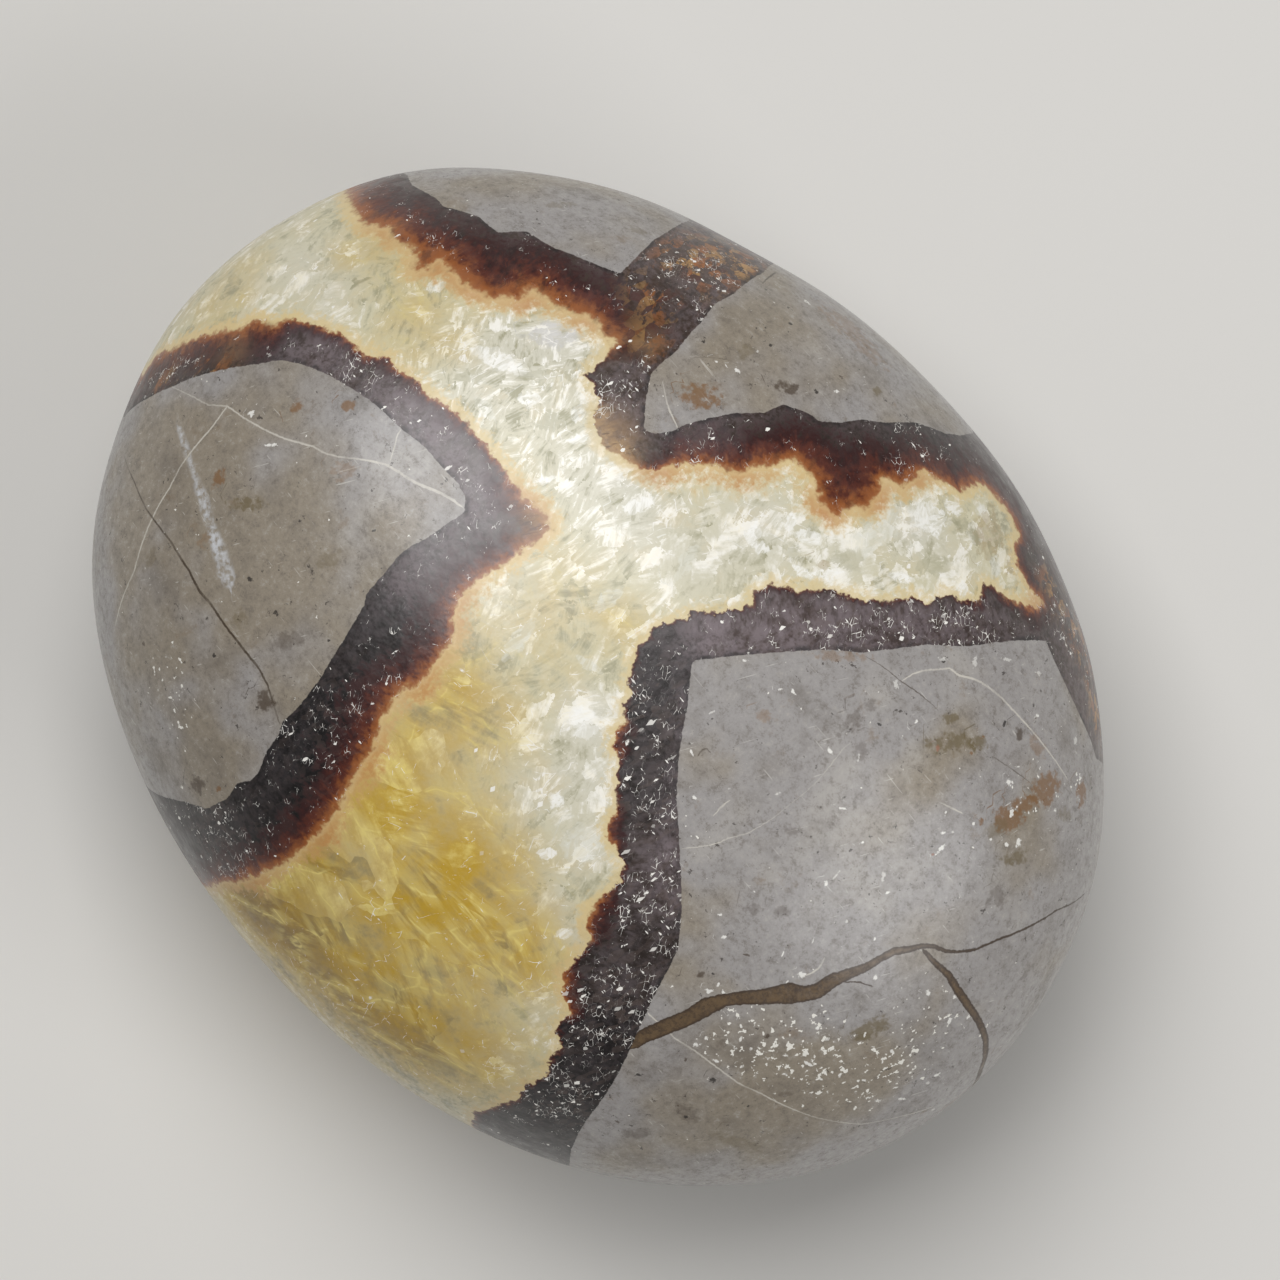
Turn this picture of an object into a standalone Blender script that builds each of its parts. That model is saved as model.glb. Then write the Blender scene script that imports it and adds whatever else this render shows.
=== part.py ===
# A polished septarian nodule: a hand-sized pebble of grey mudstone whose cracks are filled with
# brown aragonite and honey calcite. The filling is flush with the stone, so one smooth solid holds it all.
# Metres, +Z up. +X runs along the stone and +Y across it. The origin is on the surface it rests on.

import math

import bmesh
import bpy

# Driving dimensions
length = 0.0700
width = 0.0556
crown_height = 0.0195    # widest section up to the top
belly_depth = 0.0180     # widest section down to where the round belly would end
rest_depth = 0.0005      # how much of the belly the flat rest spot takes off

# Form
squareness = 2.067       # 2 is an ellipsoid, higher is boxier
egg = 0.016              # how much wider the +X end is than the middle
wave_height = 0.00018    # gentle flats and swells left by hand polishing
wave_pairs = (           # (waves along, waves across, waves up, phase) of each swell
    (2.3, 1.4, 0.9, 0.6),
    (-1.2, 2.6, 1.7, 2.1),
    (3.1, -2.2, 1.1, 4.0),
)
columns = 72             # faces round the stone
rows = 36                # faces from top to belly
down = (0.0, 0.0, -1.0)

# Look of the plain solid
stone_colour = (0.135, 0.122, 0.100, 1.0)
stone_roughness = 0.32
stone_metallic = 0.0


def clear_scene():
    for old in list(bpy.data.objects):
        bpy.data.objects.remove(old, do_unlink=True)


def make_collection(name):
    collection = bpy.data.collections.new(name)
    bpy.context.scene.collection.children.link(collection)
    return collection


def make_material(name, colour, roughness, metallic):
    material = bpy.data.materials.new(name)
    material.use_nodes = True
    shader = material.node_tree.nodes["Principled BSDF"]
    shader.inputs["Base Color"].default_value = colour
    shader.inputs["Roughness"].default_value = roughness
    shader.inputs["Metallic"].default_value = metallic
    material.diffuse_color = colour
    return material


def swell(x, y, z):
    # Height of the polishing waves at a point of the unit form
    total = sum(math.sin(kx * x + ky * y + kz * z + phase) for kx, ky, kz, phase in wave_pairs)
    return wave_height * total / len(wave_pairs)


def pebble_point(direction):
    # Moves a point of the unit sphere onto the pebble
    power = sum(abs(c) ** squareness for c in direction)
    x, y, z = direction / power ** (1.0 / squareness)
    half_height = crown_height if z > 0.0 else belly_depth
    grow = 1.0 + swell(x, y, z) / crown_height
    return (
        grow * x * length / 2.0,
        grow * y * (1.0 + egg * x) * width / 2.0,
        grow * z * half_height,
    )


def cut_rest_spot(mesh_data):
    # Bisects the belly flat and closes the cut with one face, whose rim stays crisp
    cut_height = rest_depth - belly_depth
    geometry = mesh_data.verts[:] + mesh_data.edges[:] + mesh_data.faces[:]
    bmesh.ops.bisect_plane(
        mesh_data,
        geom=geometry,
        dist=1e-6,
        plane_co=(0.0, 0.0, cut_height),
        plane_no=down,
        clear_outer=True,
    )
    rim = [edge for edge in mesh_data.edges if edge.is_boundary]
    bmesh.ops.contextual_create(mesh_data, geom=rim)
    for edge in rim:
        edge.smooth = False
    bmesh.ops.recalc_face_normals(mesh_data, faces=mesh_data.faces[:])


def centre_on_origin(mesh_data):
    # Puts the rest spot on z = 0 and the middle of the box over the origin
    low = [min(v.co[axis] for v in mesh_data.verts) for axis in range(3)]
    high = [max(v.co[axis] for v in mesh_data.verts) for axis in range(3)]
    shift = (-(low[0] + high[0]) / 2.0, -(low[1] + high[1]) / 2.0, -low[2])
    bmesh.ops.translate(mesh_data, vec=shift, verts=mesh_data.verts[:])


def make_nodule(collection):
    mesh = bpy.data.meshes.new("nodule")
    shape = bmesh.new()
    bmesh.ops.create_uvsphere(shape, u_segments=columns, v_segments=rows, radius=1.0)
    for vertex in shape.verts:
        vertex.co = pebble_point(vertex.co.normalized())
    cut_rest_spot(shape)
    centre_on_origin(shape)
    for face in shape.faces:
        face.smooth = True
    shape.to_mesh(mesh)
    shape.free()
    nodule = bpy.data.objects.new("nodule", mesh)
    nodule.data.materials.append(
        make_material("polished stone", stone_colour, stone_roughness, stone_metallic)
    )
    collection.objects.link(nodule)
    return nodule


clear_scene()
make_nodule(make_collection("septarian nodule"))
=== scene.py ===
import math

import bpy
import mathutils
import numpy as np
from mathutils.kdtree import KDTree
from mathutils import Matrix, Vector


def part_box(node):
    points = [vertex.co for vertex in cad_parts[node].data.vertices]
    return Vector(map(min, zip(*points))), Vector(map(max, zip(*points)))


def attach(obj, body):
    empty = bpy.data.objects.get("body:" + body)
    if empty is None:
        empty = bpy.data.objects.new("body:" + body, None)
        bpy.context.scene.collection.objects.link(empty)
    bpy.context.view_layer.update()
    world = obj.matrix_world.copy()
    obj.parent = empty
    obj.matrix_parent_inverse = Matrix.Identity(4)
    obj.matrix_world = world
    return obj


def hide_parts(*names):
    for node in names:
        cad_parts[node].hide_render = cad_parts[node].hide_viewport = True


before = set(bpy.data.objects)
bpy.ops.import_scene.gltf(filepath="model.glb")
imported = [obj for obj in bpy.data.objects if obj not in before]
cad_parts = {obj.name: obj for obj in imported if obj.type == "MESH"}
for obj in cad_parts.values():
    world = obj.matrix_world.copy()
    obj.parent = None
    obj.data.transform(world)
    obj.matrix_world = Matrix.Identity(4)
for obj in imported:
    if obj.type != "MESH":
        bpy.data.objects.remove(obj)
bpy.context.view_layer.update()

# Where the stone lies in the square picture, in pixels
picture = {
    "size": 1280,
    "stoneCentre": (597.9, 674.4),
    "stoneLength": 1112.0,
    "turn": 44.95,              # degrees from the stone's +X to the picture's right
    "cameraRise": 0.45,         # metres from the widest section to the camera
}

# The pebble's form, with the same driving values as its solid
pebble = {
    "squareness": 2.067,
    "egg": 0.016,
    "crown": 0.0195,
    "belly": 0.0180,
    "restDepth": 0.0005,
    "restSoftness": 0.00008,
    "waveHeight": 0.00018,
    "waves": ((2.3, 1.4, 0.9, 0.6), (-1.2, 2.6, 1.7, 2.1), (3.1, -2.2, 1.1, 4.0)),
    # Where the rim leaves its even curve: degrees up from the picture's right, spread, millimetres out
    "rimSwells": ((152.0, 12.0, -0.50), (111.0, 11.0, 0.38), (71.0, 12.0, -0.42), (22.0, 13.0, 0.25),
                  (3.0, 8.0, 0.18), (-33.0, 9.0, -0.14)),
    "probes": 60000,            # points that measure the form before it is fitted to the solid's box
    "coarseSplits": 7,
    "fineReachMm": 0.6,         # faces nearer than this to a wall or a crack are split once more
}

low, high = [np.array(corner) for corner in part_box("nodule")]
stoneSize = high - low
widestHeight = pebble["belly"] - pebble["restDepth"]
pixelSize = stoneSize[0] / picture["stoneLength"]
pixelMm = pixelSize * 1000.0
turn = math.radians(picture["turn"])
pictureRight = np.array((math.cos(turn), math.sin(turn), 0.0))
pictureUp = np.array((-math.sin(turn), math.cos(turn), 0.0))


def cameraPlace():
    right = (picture["size"] / 2.0 - picture["stoneCentre"][0]) * pixelSize
    up = (picture["stoneCentre"][1] - picture["size"] / 2.0) * pixelSize
    place = right * pictureRight + up * pictureUp
    place[2] = widestHeight + picture["cameraRise"]
    return place


def squared(directions):
    # Unit directions to points of a ball that is a little squarer than round
    power = np.sum(np.abs(directions) ** pebble["squareness"], axis=1)
    return directions / power[:, None] ** (1.0 / pebble["squareness"])


def rawForm(directions):
    # Unit directions to points of the pebble, before it is fitted to the solid's box
    x, y, z = squared(directions).T
    swell = sum(np.sin(kx * x + ky * y + kz * z + phase) for kx, ky, kz, phase in pebble["waves"])
    grow = 1.0 + pebble["waveHeight"] * swell / len(pebble["waves"]) / pebble["crown"]
    half = np.where(z > 0.0, pebble["crown"], pebble["belly"])
    points = np.empty((len(x), 3))
    points[:, 0] = grow * x * stoneSize[0] / 2.0
    points[:, 1] = grow * y * (1.0 + pebble["egg"] * x) * stoneSize[1] / 2.0
    points[:, 2] = grow * z * half + pebble["belly"] - pebble["restDepth"]
    soft = pebble["restSoftness"]
    points[:, 2] = soft * np.logaddexp(0.0, points[:, 2] / soft)    # flat where it rests, with a soft rim
    return points


def evenDirections(count):
    # Directions spread evenly over a ball
    steps = np.arange(count) + 0.5
    height = 1.0 - 2.0 * steps / count
    around = steps * math.pi * (3.0 - math.sqrt(5.0))
    flat = np.sqrt(1.0 - height ** 2)
    return np.stack((flat * np.cos(around), flat * np.sin(around), height), axis=1)


probe = rawForm(evenDirections(pebble["probes"]))
formScale = stoneSize / (probe.max(axis=0) - probe.min(axis=0))
formShift = low - probe.min(axis=0) * formScale


def rimShift(spots, across):
    # How far the rim's unevenness moves level spots outwards, given how near the rim each is
    angle = np.arctan2(spots[:, 1], spots[:, 0])
    out = np.zeros(len(spots))
    for middle, spread, heightMm in pebble["rimSwells"]:
        gap = (angle - turn - math.radians(middle) + math.pi) % (2.0 * math.pi) - math.pi
        out += heightMm / 1000.0 * np.exp(-(gap / math.radians(spread)) ** 2)
    away = spots[:, :2] / np.maximum(np.linalg.norm(spots[:, :2], axis=1), 1e-6)[:, None]
    return away * (out * across)[:, None]


def placesOn(directions):
    # Unit directions to points of the finished stone, in millimetres
    points = rawForm(directions) * formScale + formShift
    unit = squared(directions)
    points[:, :2] += rimShift(points, unit[:, 0] ** 2 + unit[:, 1] ** 2)
    return points * 1000.0


def photoDirections(points, under=False):
    # Picture pixels to unit directions, on the side that the picture shows or on the side below it
    pixels = np.array(points, float)[:, :2] - np.array(picture["stoneCentre"])
    flat = pixels[:, :1] * pictureRight * pixelSize - pixels[:, 1:] * pictureUp * pixelSize
    eye = cameraPlace()
    height = np.zeros(len(flat))
    half = pebble["belly"] if under else pebble["crown"]
    sign = -1.0 if under else 1.0
    power = pebble["squareness"]
    across = np.ones(len(flat))
    for _ in range(8):      # each round brings the height and the rim's shift closer to each other
        reach = 0.0 if under else height / picture["cameraRise"]
        spot = flat[:, :2] + (eye[:2] - flat[:, :2]) * np.reshape(reach, (-1, 1))
        spot = spot - rimShift(spot, across)
        x = spot[:, 0] / (stoneSize[0] / 2.0)
        y = spot[:, 1] / (stoneSize[1] / 2.0) / (1.0 + pebble["egg"] * x)
        left = np.maximum(1.0 - np.abs(x) ** power - np.abs(y) ** power, 0.0)
        z = left ** (1.0 / power)
        height = z * half
        across = np.minimum(x ** 2 + y ** 2, 1.0)
    directions = np.stack((x, y, sign * z), axis=1)
    return directions / np.linalg.norm(directions, axis=1)[:, None]


def spotCentre(x, y, side="top"):
    return placesOn(photoDirections([(x, y)], side == "under"))[0]


# How lines are followed over the stone and measured from
tracing = {
    "stepMm": 0.12,
    "sideReachMm": 0.6,     # nearer than this, the side of a line's own steps tells inside from outside
    "thinning": 8,          # every so many points of the line are enough to tell it farther away
    "farMm": 9.0,           # stands for a distance that is too far to matter
    "fanMm": 1.5,           # how far from a wall its patterns fan out
    "taper": 0.5,           # how fast a line thins past its ends
    "leanPixels": 4.0,      # how far from a mark's middle its direction is measured
}


def traced(strokes, closed):
    # A line given as {"top" or "under": points}, followed over the stone in close steps:
    # its points, their half widths in pixels and their directions
    corners = np.concatenate([photoDirections(points, side == "under") for side, points in strokes.items()])
    given = [point for points in strokes.values() for point in points]
    widths = np.array([point[2] if len(point) > 2 else 0.0 for point in given])
    if closed:
        corners = np.concatenate((corners, corners[:1]))
        widths = np.append(widths, widths[:1])
    gaps = np.linalg.norm(np.diff(placesOn(corners), axis=0), axis=1)
    line, thick = [], []
    for index, gap in enumerate(gaps):
        steps = max(1, round(gap / tracing["stepMm"]))
        share = np.arange(steps) / steps
        line.append(corners[index] + (corners[index + 1] - corners[index]) * share[:, None])
        thick.append(widths[index] + (widths[index + 1] - widths[index]) * share)
    if not closed:
        line.append(corners[-1:])
        thick.append(widths[-1:])
    line = np.concatenate(line)
    line /= np.linalg.norm(line, axis=1)[:, None]
    return placesOn(line), np.concatenate(thick), line


def treeOf(points):
    tree = KDTree(len(points))
    for index, point in enumerate(points):
        tree.insert(point, index)
    tree.balance()
    return tree


def nearestOnLine(places, line, closed):
    # For each place its distance to the line, the nearest point there, the place's side and the step it is at
    tree = treeOf(line)
    index = np.array([tree.find(place)[1] for place in places])
    count = len(line)
    centre = np.array((0.0, 0.0, 1000.0 * widestHeight))
    best = None
    for offset in (-1, 0):
        first = index + offset
        second = first + 1
        if closed:
            first, second = first % count, second % count
        else:
            first, second = np.clip(first, 0, count - 1), np.clip(second, 0, count - 1)
        start, step = line[first], line[second] - line[first]
        length = np.maximum(np.sum(step * step, axis=1), 1e-9)
        share = np.clip(np.sum((places - start) * step, axis=1) / length, 0.0, 1.0)
        point = start + step * share[:, None]
        gap = np.linalg.norm(places - point, axis=1)
        outward = line[index] - centre
        sideways = np.cross(step, outward)
        sideways /= np.maximum(np.linalg.norm(sideways, axis=1), 1e-9)[:, None]
        if best is None:
            best = [gap, point, sideways, first + share]
        else:
            nearer = gap < best[0]
            best[1] = np.where(nearer[:, None], point, best[1])
            best[3] = np.where(nearer, first + share, best[3])
            best[0] = np.minimum(gap, best[0])
            best[2] = best[2] + sideways
    side = np.where(np.sum((places - best[1]) * best[2], axis=1) < 0.0, -1.0, 1.0)
    return best[0], best[1], side, best[3]


def flattened(directions, core):
    # Directions laid out flat round a core direction, whose opposite is endlessly far
    side = np.cross(core, (0.31, 0.52, 0.79))       # any direction that no core shares
    side /= np.linalg.norm(side)
    other = np.cross(core, side)
    depth = 1.0 + directions @ core
    return np.stack((directions @ side, directions @ other), axis=1) / np.maximum(depth, 1e-6)[:, None]


def insideOutline(directions, outline, core):
    # Whether each direction is within a closed outline that the core is within
    spots = flattened(directions, core)
    edge = flattened(outline, core)
    inside = np.zeros(len(spots), bool)
    for (startX, startY), (endX, endY) in zip(edge, np.roll(edge, -1, axis=0)):
        if startY == endY:
            continue
        across = (startY > spots[:, 1]) != (endY > spots[:, 1])
        cut = startX + (spots[:, 1] - startY) * (endX - startX) / (endY - startY)
        inside ^= across & (spots[:, 0] < cut)
    return inside


def outlineOf(region):
    return {side: region[side] for side in ("top", "under") if side in region}


def regionGap(directions, places, region):
    # Signed distance to a closed outline, less than nothing inside it, and the nearest points of the outline
    line, _, lineDirections = traced(outlineOf(region), True)
    gap, point, side, _ = nearestOnLine(places, line, True)
    coreX, coreY, coreSide = region["core"]
    core = photoDirections([(coreX, coreY)], coreSide == "under")[0]
    inside = insideOutline(directions, lineDirections[::tracing["thinning"]], core)
    near = gap < tracing["sideReachMm"]
    nearInside = np.mean(inside[near & (side > 0.0)]) > np.mean(inside[near & (side < 0.0)])
    inside = np.where(near, (side > 0.0) == nearInside, inside)
    return np.where(inside, -gap, gap), point


# The mudstone blocks' outlines and the outer edges of the aragonite that lines them, in picture pixels.
# Points below the widest section are given where they would show if the stone were clear.
blocks = {
    "west": {
        "core": (260, 560, "top"),
        "top": [
            (126, 418), (149, 398), (173, 386), (196, 376), (226, 368), (259, 363), (279, 359), (302, 363),
            (330, 374), (350, 386), (366, 396), (383, 409), (400, 426), (414, 436), (429, 449), (444, 467),
            (459, 482), (467, 496), (466, 512), (446, 525), (428, 538), (411, 546), (399, 556), (386, 573),
            (374, 586), (368, 594), (365, 606), (355, 623), (346, 638), (336, 654), (323, 677), (310, 694),
            (301, 706), (284, 722), (280, 736), (269, 750), (261, 771), (253, 781), (239, 783), (229, 799),
            (208, 809), (190, 803), (171, 799), (155, 793), (141, 778),
        ],
        "under": [
            (185, 772), (232, 742), (268, 700), (300, 640), (312, 575), (330, 530), (322, 480), (290, 452),
            (248, 436), (205, 420), (160, 412),
        ],
    },
    "north": {
        "core": (560, 205, "top"),
        "top": [
            (408, 173), (412, 183), (426, 191), (438, 198), (445, 206), (460, 210), (481, 217), (491, 226),
            (500, 233), (529, 232), (541, 240), (556, 249), (573, 255), (586, 261), (606, 269), (622, 275),
            (639, 258), (654, 243), (668, 234), (679, 227), (690, 222),
        ],
        "under": [
            (682, 268), (655, 322), (612, 372), (560, 402), (512, 405), (466, 380), (438, 338), (416, 290),
            (398, 238), (396, 200),
        ],
    },
    "east": {
        "core": (800, 345, "top"),
        "top": [
            (775, 265), (765, 274), (751, 282), (734, 296), (716, 306), (704, 322), (690, 337), (677, 353),
            (660, 367), (653, 375), (648, 399), (646, 430), (656, 434), (673, 432), (687, 425), (708, 419),
            (734, 414), (768, 413), (777, 408), (785, 405), (795, 408), (811, 414), (822, 422), (845, 423),
            (862, 420), (887, 423), (918, 423), (933, 428), (948, 434), (964, 436), (975, 434),
        ],
        "under": [
            (948, 430), (905, 418), (862, 418), (815, 400), (778, 362), (760, 318), (764, 285),
        ],
    },
    "south": {
        "core": (880, 850, "top"),
        "top": [
            (1101, 760), (1096, 742), (1087, 721), (1078, 701), (1068, 679), (1059, 660), (1051, 641),
            (1023, 641), (1000, 643), (980, 646), (963, 647), (930, 645), (900, 649), (866, 653),
            (828, 650), (777, 653), (739, 656), (713, 659), (695, 661), (692, 686), (690, 707), (685, 732),
            (681, 761), (679, 796), (681, 832), (683, 868), (684, 911), (680, 948), (670, 968), (657, 993),
            (640, 1029), (629, 1054), (619, 1074), (603, 1099), (591, 1115), (582, 1129), (574, 1148),
        ],
        "under": [
            (572, 1110), (560, 1060), (566, 1010), (590, 965), (640, 930), (700, 920), (760, 905),
            (812, 872), (845, 830), (885, 790), (940, 768), (1000, 760), (1050, 768), (1085, 775),
        ],
    },
    "rim": {
        "core": (940, 600, "under"),
        "under": [
            (1000, 485), (1038, 550), (1066, 618), (1083, 680), (1078, 720), (1040, 708), (1000, 690),
            (940, 690), (885, 705), (852, 660), (846, 600), (858, 540), (880, 490), (920, 468), (965, 466),
        ],
    },
    "base": {
        "core": (600, 680, "under"),
        "under": [
            (470, 640), (505, 560), (560, 505), (640, 490), (720, 505), (768, 560), (772, 630), (760, 700),
            (742, 770), (690, 825), (620, 838), (560, 868), (500, 850), (452, 800), (425, 740), (440, 690),
        ],
    },
}
linings = {
    "west": {
        "core": (260, 560, "top"),
        "top": [
            (146, 372), (160, 351), (173, 346), (193, 336), (210, 330), (222, 327), (243, 325), (252, 316),
            (262, 317), (276, 322), (295, 315), (312, 322), (328, 326), (340, 332), (356, 343), (371, 355),
            (390, 355), (399, 368), (416, 378), (431, 393), (446, 403), (461, 413), (472, 424), (484, 438),
            (497, 454), (509, 469), (520, 484), (528, 498), (545, 508), (556, 525), (548, 540), (530, 548),
            (517, 560), (496, 574), (476, 586), (460, 601), (458, 621), (459, 641), (443, 659), (434, 671),
            (425, 685), (408, 692), (398, 703), (386, 722), (379, 747), (364, 770), (350, 798), (333, 826),
            (309, 850), (281, 869), (254, 881), (227, 885), (201, 890),
        ],
        "under": [
            (245, 840), (280, 800), (328, 738), (365, 665), (378, 590), (395, 535), (378, 455), (322, 400),
            (262, 378), (205, 366), (168, 362),
        ],
    },
    "east": {
        "core": (880, 850, "top"),
        "top": [
            (343, 192), (349, 212), (363, 227), (387, 229), (393, 244), (412, 250), (410, 273), (429, 273),
            (441, 263), (452, 275), (462, 286), (475, 294), (493, 302), (512, 302), (523, 305), (533, 294),
            (550, 305), (563, 313), (579, 319), (596, 324), (600, 334), (613, 342), (606, 358), (594, 370),
            (586, 376), (592, 384), (600, 400), (596, 417), (599, 432), (606, 449), (620, 456), (632, 464),
            (648, 471), (666, 470), (690, 467), (715, 468), (740, 475), (760, 470), (780, 466), (797, 463),
            (814, 481), (818, 504), (830, 512), (839, 521), (853, 512), (870, 512), (883, 499), (887, 483),
            (897, 484), (906, 491), (914, 483), (929, 474), (943, 483), (952, 487), (964, 495), (983, 487),
            (990, 489), (1002, 502), (1013, 514), (1021, 533), (1016, 546), (1020, 564), (1027, 579),
            (1034, 590), (1047, 602), (1040, 606), (1021, 600), (1008, 596), (1000, 587), (987, 583),
            (983, 602), (964, 600), (950, 592), (943, 596), (931, 604), (914, 594), (895, 600), (868, 600),
            (851, 596), (839, 592), (814, 588), (802, 589), (777, 583), (758, 590), (751, 607), (723, 611),
            (695, 612), (679, 620), (665, 623), (654, 630), (644, 643), (636, 654), (635, 671), (629, 684),
            (635, 696), (624, 705), (626, 721), (615, 732), (615, 748), (622, 759), (619, 771), (619, 793),
            (617, 811), (610, 820), (608, 836), (617, 850), (626, 864), (623, 878), (611, 889), (595, 903),
            (587, 919), (591, 940), (578, 956), (566, 970), (564, 991), (572, 1013), (558, 1023),
            (564, 1044), (552, 1060), (550, 1072), (529, 1082), (523, 1095), (501, 1103), (476, 1110),
        ],
        "under": [
            (505, 1050), (512, 990), (545, 935), (600, 893), (660, 880), (730, 868), (785, 832),
            (815, 790), (830, 750), (822, 700), (815, 600), (825, 535), (845, 480), (840, 452), (800, 440),
            (752, 392), (718, 352), (690, 362), (650, 398), (600, 432), (550, 442), (500, 440), (445, 410),
            (400, 355), (375, 300), (358, 245), (352, 215),
        ],
    },
    "base": {
        "core": (600, 680, "under"),
        "under": [
            (428, 640), (462, 545), (525, 478), (575, 462), (640, 462), (735, 478), (795, 548), (805, 630),
            (795, 715), (770, 785), (710, 850), (625, 862), (560, 895), (485, 885), (415, 825), (385, 745),
            (400, 690),
        ],
    },
}

# Lines across the mudstone by kind, each point (x, y, half width), in picture pixels
crackSets = {
    "scuff": [
        [
            (178, 420, 1), (186, 446, 4), (194, 471, 2), (203, 497, 6), (211, 524, 5), (220, 550, 8),
            (229, 582, 9),
        ],
    ],
    "darkCrack": [
        [
            (126, 456, 0.5), (136, 482, 0.8), (146, 506, 0.9), (156, 521, 1), (171, 540, 1.1),
            (190, 571, 1.3), (200, 591, 1.5), (211, 603, 1.3), (225, 624, 1.2), (239, 642, 1.3),
            (259, 667, 1.2), (269, 685, 1.1), (276, 707, 1), (281, 724, 0.8),
        ],
        [
            (868, 656, 0), (885, 666, 0.3), (898, 676, 0.4), (905, 682, 0.4), (919, 691, 0.5),
            (934, 703, 0.3), (944, 713, 0),
        ],
        [
            (694, 359, 0), (706, 358, 0.2), (718, 359, 0.2), (730, 361, 0.3), (742, 366, 0),
        ],
        [(764, 285, 0.4), (770, 279, 0.9), (777, 274, 0.9)],
        [(996, 757, 0), (1007, 764, 0.4), (1020, 773, 0.5), (1036, 785, 0)],
        [(699, 758, 0.3), (704, 751, 0.7), (709, 749, 0.6), (714, 754, 0.3)],
    ],
    "rustVein": [
        [
            (634, 1043, 6), (647, 1033, 8), (669, 1024, 9), (693, 1014, 9), (710, 1004, 10), (727, 998, 7),
            (746, 996, 7.5), (765, 995, 8.5), (780, 993, 10), (790, 992, 12), (804, 993, 8.5),
            (819, 990, 8.5), (833, 980, 8), (850, 973, 6), (867, 967, 5), (882, 958, 4), (896, 951, 4.5),
            (911, 949, 3.5), (923, 946, 3), (935, 946, 2.5), (947, 951, 2), (959, 952, 1.6),
            (976, 950, 1.5), (1000, 940, 1.4), (1030, 928, 1.3), (1059, 911, 1.1), (1087, 895, 0.8),
        ],
    ],
    "rustBranch": [
        [
            (925, 950, 2), (935, 961, 3), (950, 975, 4), (959, 990, 4.5), (969, 1004, 4.5), (979, 1019, 4),
            (986, 1036, 4), (986, 1055, 4), (981, 1070, 4), (968, 1092, 3),
        ],
        [(845, 981, 0.8), (860, 981, 0.9), (875, 986, 0.5)],
    ],
    "paleLine": [
        [
            (228, 405, 0.7), (213, 426, 0.8), (194, 448, 0.9), (181, 466, 0.8), (171, 486, 0.8),
            (160, 504, 0.8), (148, 529, 0.9), (144, 540, 0.9), (135, 571, 1), (123, 599, 0.8),
            (116, 626, 0.4),
        ],
        [
            (650, 1011, 0.7), (664, 1023, 0.8), (676, 1035, 0.8), (698, 1049, 0.8), (722, 1067, 0.8),
            (741, 1081, 0.7), (761, 1090, 0.7), (788, 1104, 0.6), (817, 1115, 0.6), (862, 1122, 0.6),
            (903, 1114, 0.6), (934, 1105, 0.4),
        ],
        [
            (905, 682, 0.5), (918, 674, 0.7), (930, 671, 0.8), (955, 669, 0.9), (963, 676, 1),
            (976, 679, 1.1), (986, 683, 1.1), (996, 690, 1.1), (1006, 698, 1), (1016, 709, 1),
            (1030, 724, 0.9), (1043, 739, 0.8), (1053, 752, 0.8), (1063, 766, 0.7), (1073, 782, 0.4),
        ],
        [(403, 428, 0.4), (399, 433, 0.7), (396, 446, 0.7), (391, 461, 0.5)],
        [(664, 380, 0.3), (668, 400, 0.7), (672, 412, 0.7), (680, 429, 0.4)],
        [(734, 799, 0.3), (724, 807, 0.9), (716, 816, 0.4)],
        [(943, 803, 0.3), (953, 808, 0.9), (961, 812, 0.9), (968, 815, 0.4)],
        [(806, 975, 0.5), (815, 971, 0.9), (822, 966, 0.9), (826, 957, 0.6)],
    ],
    "paleCross": [
        [
            (682, 849, 0.3), (700, 847, 0.5), (718, 844, 0.6), (732, 838, 0.6), (749, 834, 0.5),
            (764, 826, 0.2), (778, 817, 0.1), (793, 805, 0), (808, 793, 0.1), (820, 782, 0.1),
            (833, 767, 0.2), (846, 750, 0.1), (857, 741, 0),
        ],
        [
            (173, 386, 0.4), (194, 396, 0.6), (209, 404, 0.6), (228, 405, 0.7), (246, 418, 0.8),
            (266, 429, 0.8), (286, 438, 0.9), (315, 446, 0.8), (325, 452, 0.9), (340, 456, 0.8),
            (358, 458, 0.8), (371, 460, 0.9), (388, 464, 1), (401, 472, 1.2), (413, 480, 1.2),
            (426, 486, 1.4), (441, 492, 1.3), (454, 499, 1.2), (464, 507, 0.9),
        ],
    ],
}

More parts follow.
